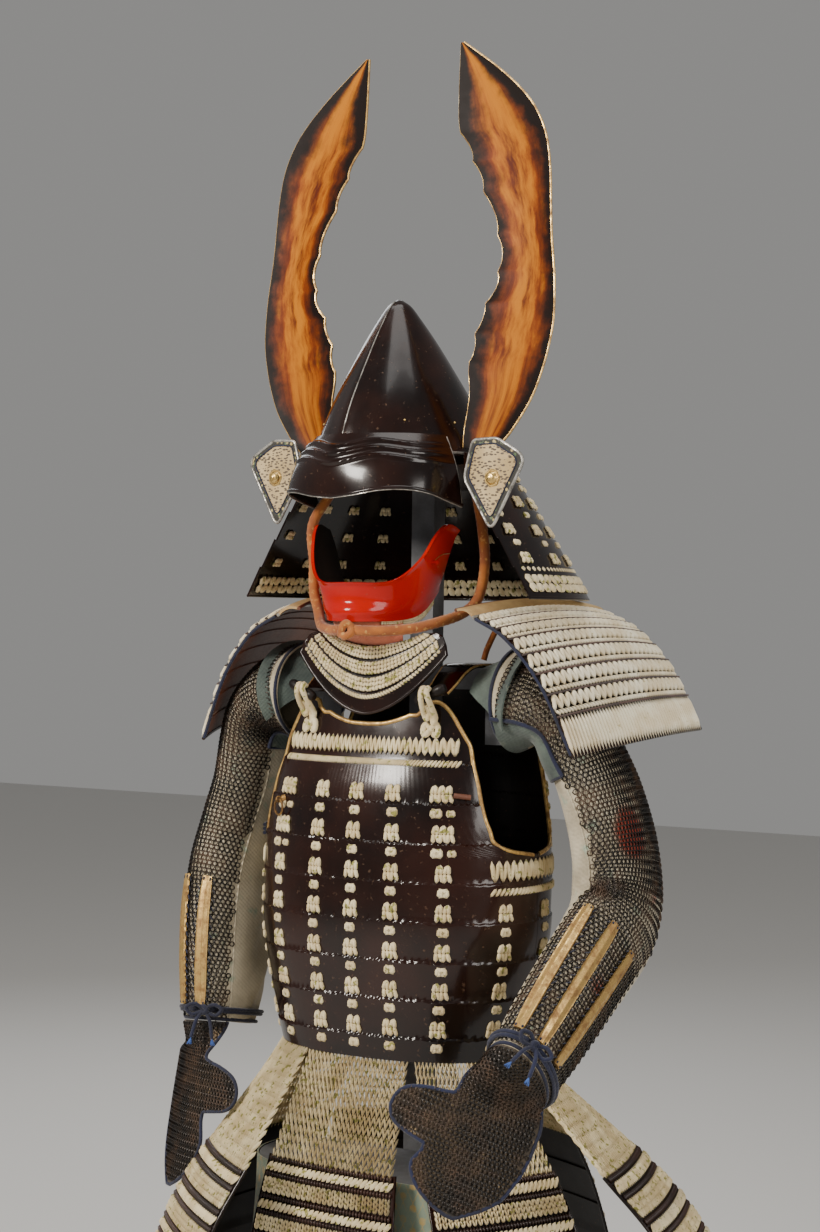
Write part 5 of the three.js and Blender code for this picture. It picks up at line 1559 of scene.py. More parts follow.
@dataclass
class Cuirass:
    """The chest and back plates, their rims, laces, straps, toggles and ring."""

    sections: tuple[tuple[float, float, float, float], ...] = (
        (606, 150, 107, 108),
        (650, 161, 111, 114),
        (740, 178, 121, 123),
        (787, 179, 122, 125),
        (870, 176, 118, 127),
        (925, 168, 110, 128),
        (957, 161, 99, 127),
        (990, 156, 93, 124),
        (1058, 148, 80, 116),
    )
    cover: tuple[tuple[float, float], ...] = (
        (848, 89.9),
        (855, 76),
        (863, 69.5),
        (875, 66),
        (897, 63.6),
        (933, 62.4),
        (975, 61.5),
    )
    front_top: tuple[tuple[float, float], ...] = ((0, 996), (0.3, 998), (0.6, 1008), (0.85, 1024), (0.94, 1018), (1, 1005))
    back_top: tuple[tuple[float, float], ...] = ((0, 1044), (0.3, 1046), (0.6, 1052), (0.82, 1054), (0.94, 1044), (1, 1026))
    neck: float = 975.0
    lame_top: float = 953.0
    lame_height: float = 45.6
    column: float = 59.0

    def __post_init__(self) -> None:
        """Works out the sections' curves."""
        self.side, self.front, self.back = (Curve(*[(row[0], row[k]) for row in self.sections]) for k in (1, 2, 3))
        self.covered = Curve(*self.cover)

    def reach(self, angle: Array, z: Array) -> Array:
        """The distance from the axis to the inner face."""
        turn = np.radians(angle)
        depth = np.where(np.cos(turn) > 0, self.front(z), self.back(z))
        return (np.abs(np.sin(turn) / self.side(z)) ** 2.4 + np.abs(np.cos(turn) / depth) ** 2.4) ** (-1 / 2.4)

    def at(self, angle: Array, z: Array) -> Array:
        """A point of the inner face by its angle and level."""
        turn = np.radians(angle)
        reach = self.reach(angle, z)
        return stack(reach * np.sin(turn), -reach * np.cos(turn), z)

    def round_patch(self) -> Patch:
        """The inner face over the angle and the level."""
        return Patch(self.at, 1.0, (0.1, 0.1))

    def half_patch(self, turn: float, top: Curve) -> Patch:
        """One half over the share across and a level that runs on past the neck.

        Args:
            turn: 0 for the chest and 180 for the back.
            top: the half's top edge.

        Returns:
            The half's inner face.
        """

        def place(u: Array, level: Array) -> Array:
            """A point of the half."""
            t = np.clip((level - self.neck) / 100, 0, 1)
            z = np.where(level <= self.neck, level, self.neck + (top(np.abs(u)) - self.neck) * t)
            low = np.where(level < 848, 89.9, self.covered(level))
            angle = u * np.where(level <= self.neck, low, 61.5 + (56 - 61.5) * t)
            return self.at(turn + angle, z)

        return Patch(place, 1.0, (1e-3, 0.1))

    def levels(self) -> Array:
        """The rows of a half, closer at each lame's foot."""
        rows = [606.0]
        for k in range(7, -1, -1):
            foot = self.lame_top - self.lame_height * k
            rows += [foot - 4.2, foot - 2.6, foot - 1.4, foot - 0.2, foot + 1.0, foot + 2.2, foot + 8, foot + 20, foot + 32]
        rows = [z for z in rows if 606 <= z <= self.neck] + [846.0, 849.0, 851.5, 855.0, 859.0, 863.0, 868.0, 882.0, 890.0]
        rows += [self.neck, self.neck + 12, self.neck + 35, self.neck + 60, self.neck + 85, self.neck + 100]
        return np.array(sorted(set(rows)))

    def step(self, u: Array, level: Array) -> Array:
        """How far a lame's scalloped top stands out over the next."""
        arc = np.abs(((u * 272) % 11.0) - 5.5) / 5.5
        scallop = 2.6 * (1 - arc**2) - 1.3
        above = (level - scallop - self.lame_top) % self.lame_height
        lift = 1.7 * above / self.lame_height
        lift = np.where(level > self.lame_top + 3, 0, lift)
        return np.where(above > self.lame_height - 0.1, 1.7, lift)

    def make_halves(self) -> None:
        """The chest and back plates with their gilt rims."""
        for name, turn, rows in (("front", 0.0, self.front_top), ("back", 180.0, self.back_top)):
            top = Curve(*rows)
            patch = self.half_patch(turn, top)
            us = np.linspace(-1, 1, 161)
            plate = shell(f"chest_{name}", patch, us, self.levels(), PLATE, LACQUER, SOOT, None, self.step)
            seat(plate, "lacquer", f"cuirass_{name}")
            side = [(1.0, z) for z in (849, 850.5, 852, 855, 860, 867, 877, 890, 908, 930, 953, 975, 1000, 1025, 1050, 1072)]
            crown = [(u, 1075.0) for u in np.linspace(1, 0, 24)]
            half = side + crown
            line = np.array(half + [(-u, z) for u, z in reversed(half[:-1])])
            path = patch.lifted(line[:, 0], line[:, 1], PLATE / 2 + 0.6)
            along = unit(np.gradient(path, axis=0))
            _, _, _, out, _, _ = patch.frame(line[:, 0], line[:, 1])
            away = unit(np.cross(along, out))
            middle = path.mean(0)
            away *= np.sign(np.sum(away * (path - middle), axis=1, keepdims=True))
            rim = smooth_path(path + away * 2.0, 150)
            seat(tube(f"rim_{name}", rim, 2.7, GILT, 10), "gilt", f"gilt_rim_{name}")

    def make_laces(self) -> None:
        """The paired knots on each lame and the full bands at the top."""
        patch = self.round_patch()
        knots, pale = Swarm(Form.bead(6)), Swarm(Form.bead(6))
        count = int(2 * math.pi * 150 // self.column)
        for k in range(8):
            foot = self.lame_top - self.lame_height * k
            for i in range(count):
                angle = 360 * i / count
                folded = abs((angle + 180) % 360 - 180)
                from_front = min(folded, 180 - folded)
                if foot > 848 and from_front > 60 or k == 3 and from_front > 66:
                    continue
                edge = foot > 840 and from_front > 40
                if k:
                    knots.knot(patch, angle, foot + 12, 26 if edge else 18, 20, 6 if edge else 4)
                if edge and k:
                    pale.cross(patch, angle - 2.6, foot - 10, 15)
                    pale.cross(patch, angle + 3.4, foot - 10, 11)
                elif k:
                    pale.cross(patch, angle, foot - 10, 14.5)
        for low, high in ((-57.5, 57.5), (122.5, 237.5)):
            knots.span(patch, (low, high), (965, 982.5), 66, 1, Slant.LEANING, PLATE + 1.6, 2.8, 1.3)
            knots.span(patch, (low, high), (949, 958), 64, 1, Slant.ROPE, PLATE + 1.8, 2.6, 1.25)
        foot = self.lame_top - self.lame_height * 3
        for low, high in ((66, 114), (246, 294)):
            knots.span(patch, (low, high), (foot + 5, foot + 25), 30, 1, Slant.LEANING, PLATE + 1.8, 2.8, 1.3)
            knots.span(patch, (low, high), (foot - 14, foot - 4), 26, 1, Slant.ROPE, PLATE + 2.2, 2.6, 1.25)
        seat(knots.build("chest_knots", BRAID), "lacing")
        seat(pale.build("chest_small_knots", BRAID), "lacing")

    def make_straps(self) -> None:
        """The shoulder straps."""
        middle = Curve(*[(0, -76), (1, -60), (2, -38), (3, -15), (4, 44), (5, 74), (6, 96)])
        height = Curve(*[(0, 1034), (1, 1043.5), (2, 1058.5), (3, 1066.3), (4, 1066.3), (5, 1065), (6, 1060.5)])
        half = Curve(*[(0, 16), (1, 17), (2, 19), (3, 22), (4, 23), (5, 23), (6, 23)])
        body = Patch(lambda u, s: stack(85 + u * half(s), middle(s), height(s)), 1.0)
        for name, patch in (("left", body), ("right", body.mirrored())):
            strap = shell(
                f"strap_{name}_plate", patch, np.linspace(-1, 1, 15), np.linspace(0, 6, 61), 3.4, LACQUER, SOOT,
                lambda u, s: 1.5 * (1 - np.abs(u) ** 2),
            )
            seat(strap, "lacquer", f"strap_{name}")
            for edge, u in (("outer", 0.97), ("inner", -0.97)):
                line = patch.lifted(np.full(60, u), np.linspace(0.02, 5.98, 60), 2.6)
                seat(tube(f"strap_{edge}_edge_{name}", line, 1.5, GILT, 6), "gilt")

    def make_toggles(self) -> None:
        """Dark toggles with two-loop cords down to their knots."""
        grommet = self.round_patch()
        for name, side in (("left", 1), ("right", -1)):
            middle = np.array([90.0, -98.0, 1036.0])
            aim = np.array([math.cos(math.radians(25)), 0.12, math.sin(math.radians(25))])
            aim = aim / np.linalg.norm(aim)
            path = np.array([middle + aim * d for d in np.linspace(-20.5, 20.5, 25)]) * [side, 1, 1]
            radii = Curve((-20.5, 4.2), (-17, 5.9), (-10, 6.6), (0, 5.3), (10, 6.6), (17, 5.9), (20.5, 4.2))(np.linspace(-20.5, 20.5, 25))
            toggle = tube(f"toggle_{name}_bar", path, radii, SOOT, 16)
            seat(toggle, "toggle", f"toggle_{name}")
            eye = grommet.lifted(np.array([46.0 * side]), np.array([1004.0]), PLATE + 2.5)[0]
            start = (middle + [-3, -5, 0]) * [side, 1, 1]
            for lane, reach in ((-1, 0.86), (1, 1.0)):
                low = start + (eye - start) * reach
                route = [
                    start + [lane * 2, 4, 5],
                    start + [lane * 3, -3, 7],
                    start + [lane * 4, -6, 0],
                    (start + low) / 2 + [lane * 6.5, -5, 0],
                    low + [lane * 7, -4.5, 3],
                    low + [lane * 4, -4, -3],
                    low + [lane * 1.5, -3, 5],
                    (start + low) / 2 + [lane * 2.0, -3, 2],
                ]
                loop = smooth_path(route, 44)
                label = "first" if lane < 0 else "second"
                seat(tube(f"toggle_loop_{label}_{name}", loop, 3.6, BRAID, 12, False, 1.0, 3, 11.0), "lacing")
            spot, first, second, out, _, _ = grommet.frame(np.array([45.0 * side]), np.array([993.0]))
            turns = np.linspace(0, 2 * math.pi, 41)[:-1]
            eight = np.stack([9.0 * np.sin(turns), 8.0 * np.sin(turns) * np.cos(turns) * 1.6, 1.6 * np.cos(turns)], -1)
            path = spot[0] + first[0] * eight[:, :1] + second[0] * eight[:, 1:2] + out[0] * (eight[:, 2:] + PLATE + 2.6)
            seat(tube(f"toggle_knot_{name}", path, 3.7, BRAID, 12, True, 1.0, 3, 11.0), "lacing")

    def make_ring(self) -> None:
        """The chest ring and its eye."""
        for node, finish in (("ring_mount", BRONZE), ("ring", BRONZE)):
            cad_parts[node].data.materials.clear()
            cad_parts[node].data.materials.append(finish.material())

    def make_closure(self) -> None:
        """The cords that close the right side, and the leather tie on the left."""
        patch = self.round_patch()
        line = patch.lifted(np.full(30, -84.0), np.linspace(872, 842, 30), PLATE + 3.5)
        seat(tube("side_cord_fall", line, 2.6, NAVY, 10, False, 1.0, 3, 12.0), "navy")
        band = patch.lifted(np.linspace(-70, -100, 24), np.full(24, 861.0), PLATE + 4.6)
        for k, rise in enumerate((-5, 0, 5)):
            seat(tube(f"side_cord_{k + 1}", band + [0, 0, rise], 2.3, NAVY, 10, False, 1.0, 3, 12.0), "navy")
        tie = patch.lifted(np.linspace(53, 59.5, 12), np.linspace(918, 916, 12), PLATE + 3.6)
        seat(tube("breast_tie", tie, 3.4, BROWN_LEATHER, 10, False, 1.0, 3, 12.0), "leather")

    def build(self) -> None:
        """Makes the body."""
        self.make_halves()
        self.make_laces()
        self.make_straps()
        self.make_toggles()
        self.make_ring()
        self.make_closure()


@dataclass
class Skirt:
    """The hanging skirt plates: long laces, then laced lames."""

    cuirass: Cuirass
    plates: tuple[tuple[str, float, float, float, float, float, float], ...] = (
        ("front", -4, -36, 36, 146, 160, 91),
        ("left_front", 62, 36, 84, 205, 240, 86),
        ("left_side", 104, 84, 132, 275, 336, 86),
        ("back_left", 158, 132, 180, 205, 232, 86),
        ("back_right", 212, 180, 228, 198, 222, 86),
        ("right_side", 264, 228, 276, 190, 210, 86),
        ("right_front", 320, 276, 324, 224, 262, 86),
    )
    waist: float = 606.0
    top: float = 482.0
    bottom: float = 266.0
    lames: int = 5
    cords: int = 24

    def patch(self, row: tuple[str, float, float, float, float, float, float]) -> Patch:
        """A skirt plate's inner face, over the share across and the level.

        Args:
            row: the plate's row of the table.

        Returns:
            The surface.
        """
        _, face, start, end, near, low, half = row
        turn = math.radians(face)
        out = np.array([math.sin(turn), -math.cos(turn), 0.0])
        along = np.array([math.cos(turn), math.sin(turn), 0.0])
        gain = low - near
        reach = Curve((self.bottom, low + gain * 1.1), (344, low + gain * 0.75), (420, low), (self.top, near))

        def place(u: Array, z: Array) -> Array:
            """A point of the plate."""
            depth = np.minimum(z, self.top)
            wide = half + 27 * (self.top - depth) / (self.top - self.bottom)
            spot = out * (reach(depth) - 6 * u**2)[..., None] + along * (u * wide)[..., None]
            spot = spot + stack(0 * u, 0 * u, depth)
            middle, spread = (start + end) / 2, (end - start - 1.5) / 2
            waist = self.cuirass.at(middle + u * spread, np.full(u.shape, self.waist))
            waist[..., 2] = self.waist - SEAM
            share = np.clip((z - self.top) / (self.waist - SEAM - self.top), 0, 1)[..., None]
            return np.where((z <= self.top)[..., None], spot, spot + (waist - spot) * share)

        return Patch(place, 1.0, (1e-3, 0.1))

    def make_plate(self, row: tuple[str, float, float, float, float, float, float]) -> None:
        """One plate with its laces, bands and ribs."""
        name = row[0]
        patch = self.patch(row)
        height = (self.top - self.bottom) / self.lames

        def step(u: Array, z: Array) -> Array:
            """How far a lame's foot stands out."""
            above = (z - self.bottom) % height
            return 2.0 * (1 - above / height)

        rows = np.concatenate([np.linspace(self.bottom + height * k, self.bottom + height * (k + 1) - 0.3, 7) for k in range(self.lames)])
        plate = shell(f"skirt_{name}", patch, np.linspace(-1, 1, 31), rows, 2.4, LACQUER, SOOT, None, step)
        seat(plate, "lacing", f"tasset_{name}")
        laces, bands, ribs = Swarm(Form.bead(4)), Swarm(Form.bead(4)), Swarm(Form.bead(5, 1))
        step_u = 1.94 / self.cords
        for i in range(self.cords):
            left = -0.97 + step_u * i
            laces.span(patch, (left + step_u * 0.06, left + step_u * 0.94), (self.top - 5, self.waist - 1), 2, 12, Slant.BRAIDED, 2.0, 2.6, 1.5, 0.66)
        for k in range(self.lames):
            foot = self.bottom + height * k
            for low, high in ((0.82, 0.99), (0.40, 0.57)):
                ribs.span(patch, (-0.98, 0.98), (foot + height * low, foot + height * high), 44, 1, Slant.UPRIGHT, PLATE + 2.0, 2.2, 1.1)
            bands.span(patch, (-0.98, 0.98), (foot + height * 0.57, foot + height * 0.82), 27, 1, Slant.ROPE, PLATE + 2.6, 3.0, 1.35)
            for i in range(self.cords):
                left = -0.97 + step_u * i
                bands.span(patch, (left + step_u * 0.05, left + step_u * 0.95), (foot + height * 0.01, foot + height * 0.40), 2, 3, Slant.BRAIDED, PLATE + 2.4, 2.8, 1.42, 0.68)
        seat(laces.build(f"skirt_laces_{name}", BRAID), "lacing")
        seat(bands.build(f"skirt_bands_{name}", BRAID), "lacing")
        seat(ribs.build(f"skirt_ribs_{name}", RIB_LACQUER), "lacquer")
        for end, u in (("first", -1.0), ("last", 1.0)):
            line = patch.lifted(np.full(60, u), np.linspace(self.bottom + 1, self.top, 60), 2.0)
            seat(tube(f"skirt_{end}_side_{name}", line, 2.0, LACQUER, 8), "lacquer")

    def build(self) -> None:
        """Makes the skirt plates."""
        for row in self.plates:
            self.make_plate(row)


# ---------------------------------------------------------------- arms


@dataclass
class Arm:
    """A sleeve with its mail, splints, wrist tie and hand cover."""

    name: str
    rings: tuple[tuple[float, float, float, float, float], ...]
    middle: float
    splints: tuple[float, float]
    tie: float
    origin: tuple[float, float, float]
    along: tuple[float, float, float]
    facing: tuple[float, float, float]
    thumb: tuple[float, float, float]
    tail: float
    rear: tuple[tuple[float, float], ...]
    fore: tuple[tuple[float, float], ...]
    bow: float
    facing_end: float
    hand: tuple[tuple[float, float, float], ...] = (
        (1, 46, 46),
        (18, 46, 53),
        (36, 46, 57),
        (42, 74, 58),
        (52, 95, 58),
        (72, 103, 58),
        (88, 96, 56),
        (95, 80, 55),
        (98, 56, 54),
        (124, 60, 45),
        (142, 48, 29),
        (155, 26, 12),
        (161, 6, 4),
    )

    def __post_init__(self) -> None:
        """Works out the frames along the arm."""
        table = np.array(self.rings, float)
        centres = table[:, :3]
        side = np.sign(table[0, 0])
        wide_axis = np.array([0, 1.0, 0])
        rows = []
        for i in range(len(table)):
            along = centres[min(i + 1, len(table) - 1)] - centres[max(i - 1, 0)]
            along = along / np.linalg.norm(along) if i else np.array([side, 0, 0])
            wide_axis = wide_axis - np.dot(wide_axis, along) * along
            wide_axis = wide_axis / np.linalg.norm(wide_axis)
            thin_axis = np.cross(along, wide_axis) * side
            rows.append(np.concatenate([centres[i], along, wide_axis, thin_axis, table[i, 3:]]))
        rows = np.array(rows)
        index = np.arange(len(rows))
        self.table = rows
        self.centre = [Curve(*zip(index, rows[:, k])) for k in range(3)]
        self.sizes = [Curve(*zip(index, rows[:, k])) for k in (12, 13)]
        self.side = side
        self.last = len(rows) - 1

    def axis(self, place: Array, start: int) -> Array:
        """An axis of the frame at a place along the arm."""
        index = np.arange(len(self.table))
        return unit(np.stack([np.interp(place, index, self.table[:, start + k]) for k in range(3)], -1))

    def ring(self, angle: Array, place: Array) -> Array:
        """A point of the sleeve's inner face."""
        turn = np.radians(angle)
        centre = np.stack([c(place) for c in self.centre], -1)
        wide, thin = (size(place) for size in self.sizes)
        return (
            centre
            + self.axis(place, 6) * (wide * np.cos(turn))[..., None]
            + self.axis(place, 9) * (thin * np.sin(turn))[..., None]
        )

    def patch(self) -> Patch:
        """The sleeve's inner face, over the angle and the place along the arm."""
        return Patch(self.ring, 1.0 if self.side > 0 else -1.0, (0.2, 0.02))

    def oriented(self) -> Patch:
        """The sleeve's surface with its normal checked to point out."""
        patch = self.patch()
        spot, _, _, out, _, _ = patch.frame(np.array([90.0]), np.array([4.0]))
        centre = np.array([c(4.0) for c in self.centre])
        if np.dot(out[0], spot[0] - centre) < 0:
            patch.sign = -patch.sign
        return patch

    def make_sleeve(self) -> None:
        """The cloth sleeve, wrinkled inside the arm."""
        patch = self.oriented()

        def folds(angle: Array, place: Array) -> Array:
            """Wrinkles of the cloth, deepest on the inner side of the arm."""
            inner = np.maximum(0, -np.cos(np.radians(angle - self.middle)))
            smooth = 2.6 * inner * np.sin(np.radians(angle * 3) + place * 1.9)
            near = np.clip(inner + 0.35, 0, 1)
            fine = 2.6 * crumple(np.cos(np.radians(angle)) * 6, place * 4 + np.sin(np.radians(angle)) * 6, 11, 9, 1.0) * near * (0.25 + inner)
            return smooth + fine * (0.25 + inner) * 1.3

        angles = np.linspace(0, 360, 73)[:-1]
        places = np.linspace(0, self.last, 26 * 3 + 1)
        sleeve = shell(f"sleeve_cloth_{self.name}", patch, angles, places, CLOTH, SLEEVE_CLOTH, None, None, folds, True)
        seat(sleeve, "cream", f"sleeve_{self.name}")
        for label, place in (("cuff", self.last - 0.06), ("top", 0.05)):
            line = patch.lifted(angles, np.full(len(angles), place), 2.4)
            seat(tube(f"sleeve_{label}_{self.name}", line, 2.3, NAVY, 8, True), "navy")

    def make_mail(self) -> None:
        """Rows of iron links over the outer side of the sleeve."""
        patch = self.oriented()
        links = Swarm(Form.link(6))
        rear, fore = Curve(*self.rear), Curve(*self.fore)
        pitch = 6.2
        place = 0.3
        row = 0
        while place < self.last - 0.12:
            start, end = float(rear(place)), float(fore(place))
            _, _, _, _, _, step_v = patch.frame(np.array([(start + end) / 2]), np.array([place]))
            scan = np.linspace(start, end, 61)
            spots = patch.place(scan, np.full(61, place))
            run = np.concatenate([[0], np.cumsum(np.linalg.norm(np.diff(spots, axis=0), axis=1))])
            count = int(run[-1] // pitch)
            shares = (np.arange(count) + (0.5 if row % 2 else 0.0)) * pitch
            angles = np.interp(shares, run, scan)
            spot, first, second, out, _, _ = patch.frame(angles, np.full(count, place))
            lean = out * 0.35 * (1 if row % 2 else -1)
            links.lay(spot + out * (CLOTH + 1.8), (first + lean) * 3.7, second * 3.7, out * 3.7)
            place += pitch * 0.84 / step_v[0]
            row += 1
        seat(links.build(f"mail_links_{self.name}", IRON), "mail", f"mail_{self.name}")
        for label, curve in (("rear", rear), ("fore", fore)):
            places = np.linspace(0.3, self.last - 0.1, 110)
            line = patch.lifted(curve(places), places, CLOTH + 0.6)
            seat(tube(f"mail_hem_{label}_{self.name}", line, 1.5, SLEEVE_CLOTH, 8), "cream")

    def make_facing(self) -> None:
        """The grey-green facing on the inner side of the shoulder, with its navy edge."""
        patch = self.oriented()
        fore = Curve(*self.fore)

        def place(u: Array, p: Array) -> Array:
            """A point of the facing."""
            return patch.place(fore(p) - 6 + u * 120, p)

        facing = Patch(place, patch.sign, (1e-3, 0.02))

        def puff(u: Array, p: Array) -> Array:
            """Crumples of the facing."""
            return CLOTH + 2.4 + 1.6 * crumple(u * 9, p * 3.2, 21, 9, 1.5)

        cloth = shell(
            f"facing_{self.name}", facing, np.linspace(0, 1, 31), np.linspace(0.04, self.facing_end, 31),
            1.4, SAGE, None, None, puff,
        )
        seat(cloth, "sage")
        rows = np.linspace(0.04, self.facing_end, 60)
        edge = facing.lifted(np.zeros(60), rows, CLOTH + 3.4)
        seat(tube(f"facing_edge_{self.name}", edge, 2.6, NAVY, 8), "navy")
        foot = facing.lifted(np.linspace(0, 1, 50), np.full(50, self.facing_end), CLOTH + 2.6)
        seat(tube(f"facing_foot_{self.name}", foot, 1.8, NAVY, 8), "navy")

    def make_splints(self) -> None:
        """The gilt splints with their ridges and side stitches."""
        body = self.oriented()
        stitches = Swarm(Form.bead())
        for i, k in enumerate((-1, 0, 1)):
            angle = self.middle + 8 + 36 * k
            start, end = self.splints

            def place(u: Array, s: Array, angle: float = angle) -> Array:
                """A point of the splint."""
                spot, first, _, out, len_u, _ = body.frame(np.full(np.shape(u), angle), s)
                taper = 7.5 * (1 - 0.25 * np.abs((s - (start + end) / 2) / ((end - start) / 2)) ** 4)
                return spot + first * (u * taper)[..., None] + out * 5.7

            patch = Patch(place, body.sign, (1e-2, 1e-2))
            rows = np.linspace(start, end, 49)
            splint = shell(
                f"splint_{self.name}_{i + 1}_plate", patch, np.linspace(-1, 1, 13), rows, 2.2, GILT, None,
                lambda u, s: 2.3 * (1 - np.abs(u)) + 0.7 * (np.abs(u) > 0.85),
            )
            seat(splint, "gilt", f"splint_{self.name}_{i + 1}")
            for edge in (-1.35, 1.35):
                stitches.span(patch, (edge - 0.16, edge + 0.16), (start, end), 1, 17, Slant.ROPE, 0.2, 1.2, 0.9)
            for end_place in (start + 0.06, end - 0.06):
                stitches.span(patch, (-1.0, 1.0), (end_place - 0.05, end_place + 0.05), 3, 1, Slant.UPRIGHT, 3.0, 1.3, 0.8)
        seat(stitches.build(f"splint_stitches_{self.name}", NAVY), "navy")

    def make_tie(self) -> None:
        """The wrist tie with its bow and frayed ends."""
        patch = self.oriented()
        angles = np.linspace(0, 360, 73)[:-1]
        lift = CLOTH + 5.5
        for k, shift in enumerate((-0.06, 0.03)):
            line = patch.lifted(angles, np.full(72, self.tie + shift), lift - k)
            piece = tube(f"wrist_cord_{self.name}_{k + 1}", line, 2.5, NAVY, 10, True, 1.0, 3, 11.0)
            seat(piece, "navy", *([f"wrist_tie_{self.name}"] if not k else []))
        spot, first, second, out, _, _ = patch.frame(np.array([self.bow]), np.array([self.tie]))
        knot, first, second, out = spot[0] + out[0] * (lift + 2), first[0], second[0], out[0]
        for k, side in enumerate((-1, 1)):
            bow = [(0, 0, 0), (12, -7, 4), (22, -2, 5), (15, 6, 4), (1, 1.5, 2)]
            path = smooth_path([knot + first * x * side + second * y + out * z for x, y, z in bow], 26)
            seat(tube(f"wrist_bow_{self.name}_{k + 1}", path, 2.5, NAVY, 9, False, 1.0, 3, 11.0), "navy")
            tail = smooth_path([knot + first * x * side + second * y + out * z for x, y, z in ((0, 0, 2), (8, 12, 6), (13, 34, 9))], 16)
            seat(tube(f"wrist_end_{self.name}_{k + 1}", tail, 2.4, NAVY, 9, False, 1.0, 3, 11.0), "navy")
            fray = Swarm(Form.bead(5, 3))
            for turn in np.linspace(0, 2 * math.pi, 9, endpoint=False):
                lean = first * math.cos(turn) * 0.35 + out * math.sin(turn) * 0.35
                aim = unit((tail[-1] - tail[-3])[None])[0] + lean
                fray.lay((tail[-1] + aim * 4)[None], (aim * 5.2)[None], (first * 0.8)[None], (out * 0.8)[None])
            seat(fray.build(f"wrist_fray_{self.name}_{k + 1}", BLUE), "navy")
        seat(tube(f"wrist_knot_{self.name}", smooth_path([knot + first * x + second * y + out * z for x, y, z in ((-4, -3, 0), (0, -4, 3), (4, 0, 4), (0, 4, 3), (-4, 2, 0))], 16), 3.0, NAVY, 9), "navy")

    def hand_patch(self) -> Patch:
        """The hand cover's inner face, over the share across and the distance down."""
        facing, along = np.array(self.facing), np.array(self.along)
        down = along + facing * 0.12
        down = down / np.linalg.norm(down)
        normal = facing - np.dot(facing, down) * down
        normal = normal / np.linalg.norm(normal)
        across = np.cross(normal, down)
        across = across / np.linalg.norm(across)
        if np.dot(across, self.thumb) > 0:
            across = -across
        row = self.table[-1]
        wide_axis, thin_axis, arm = row[6:9], row[9:12], row[3:6]
        reach = [Curve(*[(s, r[k]) for r in self.hand for s in (r[0],)]) for k in (1, 2)]

        def place(u: Array, s: Array) -> Array:
            """A point of the hand cover."""
            turn = np.radians(u * 92)
            spoke = normal * np.cos(turn)[..., None] + across * np.sin(turn)[..., None]
            angle = np.arctan2(spoke @ thin_axis, spoke @ wide_axis)
            ray = unit(wide_axis * (np.cos(angle) / row[12])[..., None] + thin_axis * (np.sin(angle) / row[13])[..., None])
            wrist = row[:3] + wide_axis * (row[12] * np.cos(angle))[..., None]
            wrist = wrist + thin_axis * (row[13] * np.sin(angle))[..., None] + ray * 2.3 + arm * s[..., None]
            w = np.where(u < 0, u * reach[0](s), u * reach[1](s))
            far = s + self.tail * np.maximum(0, s - 98)
            plate = np.array(self.origin) + down * far[..., None] + across * w[..., None]
            plate = plate - normal * (0.0028 * w**2)[..., None]
            t = np.clip(s / 34, 0, 1)
            t = (t * t * (3 - 2 * t))[..., None]
            return wrist + (plate - wrist) * t

        return Patch(place, 1.0, (1e-3, 0.05))

    def make_hand(self) -> None:
        """The hand cover: cloth, links and its navy binding."""
        patch = self.hand_patch()
        spot, _, _, out, _, _ = patch.frame(np.array([0.1]), np.array([60.0]))
        if np.dot(out[0], self.facing) < 0:
            patch.sign = -patch.sign
        rows = np.linspace(1, 161, 65)
        us = np.linspace(-1, 1, 41)
        cover = shell(f"hand_cloth_{self.name}", patch, us, rows, 1.4, HAND_CLOTH, SLEEVE_CLOTH)
        seat(cover, "navy", f"hand_{self.name}")
        links = Swarm(Form.link(5, 0.27))
        scan = np.linspace(1, 161, 161)
        drop = np.linalg.norm(np.diff(patch.place(np.full(161, 0.15), scan), axis=0), axis=1)
        rows_at = np.interp(np.arange(4, drop.sum() - 3, 4.4), np.concatenate([[0], np.cumsum(drop)]), scan)
        for row, s in enumerate(rows_at):
            scan = np.linspace(-0.97, 0.97, 41)
            spots = patch.place(scan, np.full(41, s))
            run = np.concatenate([[0], np.cumsum(np.linalg.norm(np.diff(spots, axis=0), axis=1))])
            count = max(int(run[-1] // 5.4), 1)
            shares = (np.arange(count) + (0.75 if row % 2 else 0.25)) * 5.4
            across = np.interp(shares, run, scan)
            place, first, second, out, _, _ = patch.frame(across, np.full(count, s))
            lean = out * 0.3 * (1 if row % 2 else -1)
            links.lay(place + out * 2.3, (first + lean) * 3.2, second * 3.2, out * 3.2)
        seat(links.build(f"hand_links_{self.name}", IRON), "mail")
        left = [(-1.0, s) for s in rows]
        right = [(1.0, s) for s in rows[::-1]]
        line = np.array(left + [(u, 161.0) for u in np.linspace(-0.9, 0.9, 7)] + right)
        edge = patch.lifted(line[:, 0], line[:, 1], 1.2)
        seat(tube(f"hand_binding_{self.name}", edge, 2.2, NAVY, 8), "navy")

    def build(self) -> None:
        """Makes the arm."""
        self.make_sleeve()
        self.make_mail()
        self.make_facing()
        self.make_splints()
        self.make_tie()
        self.make_hand()


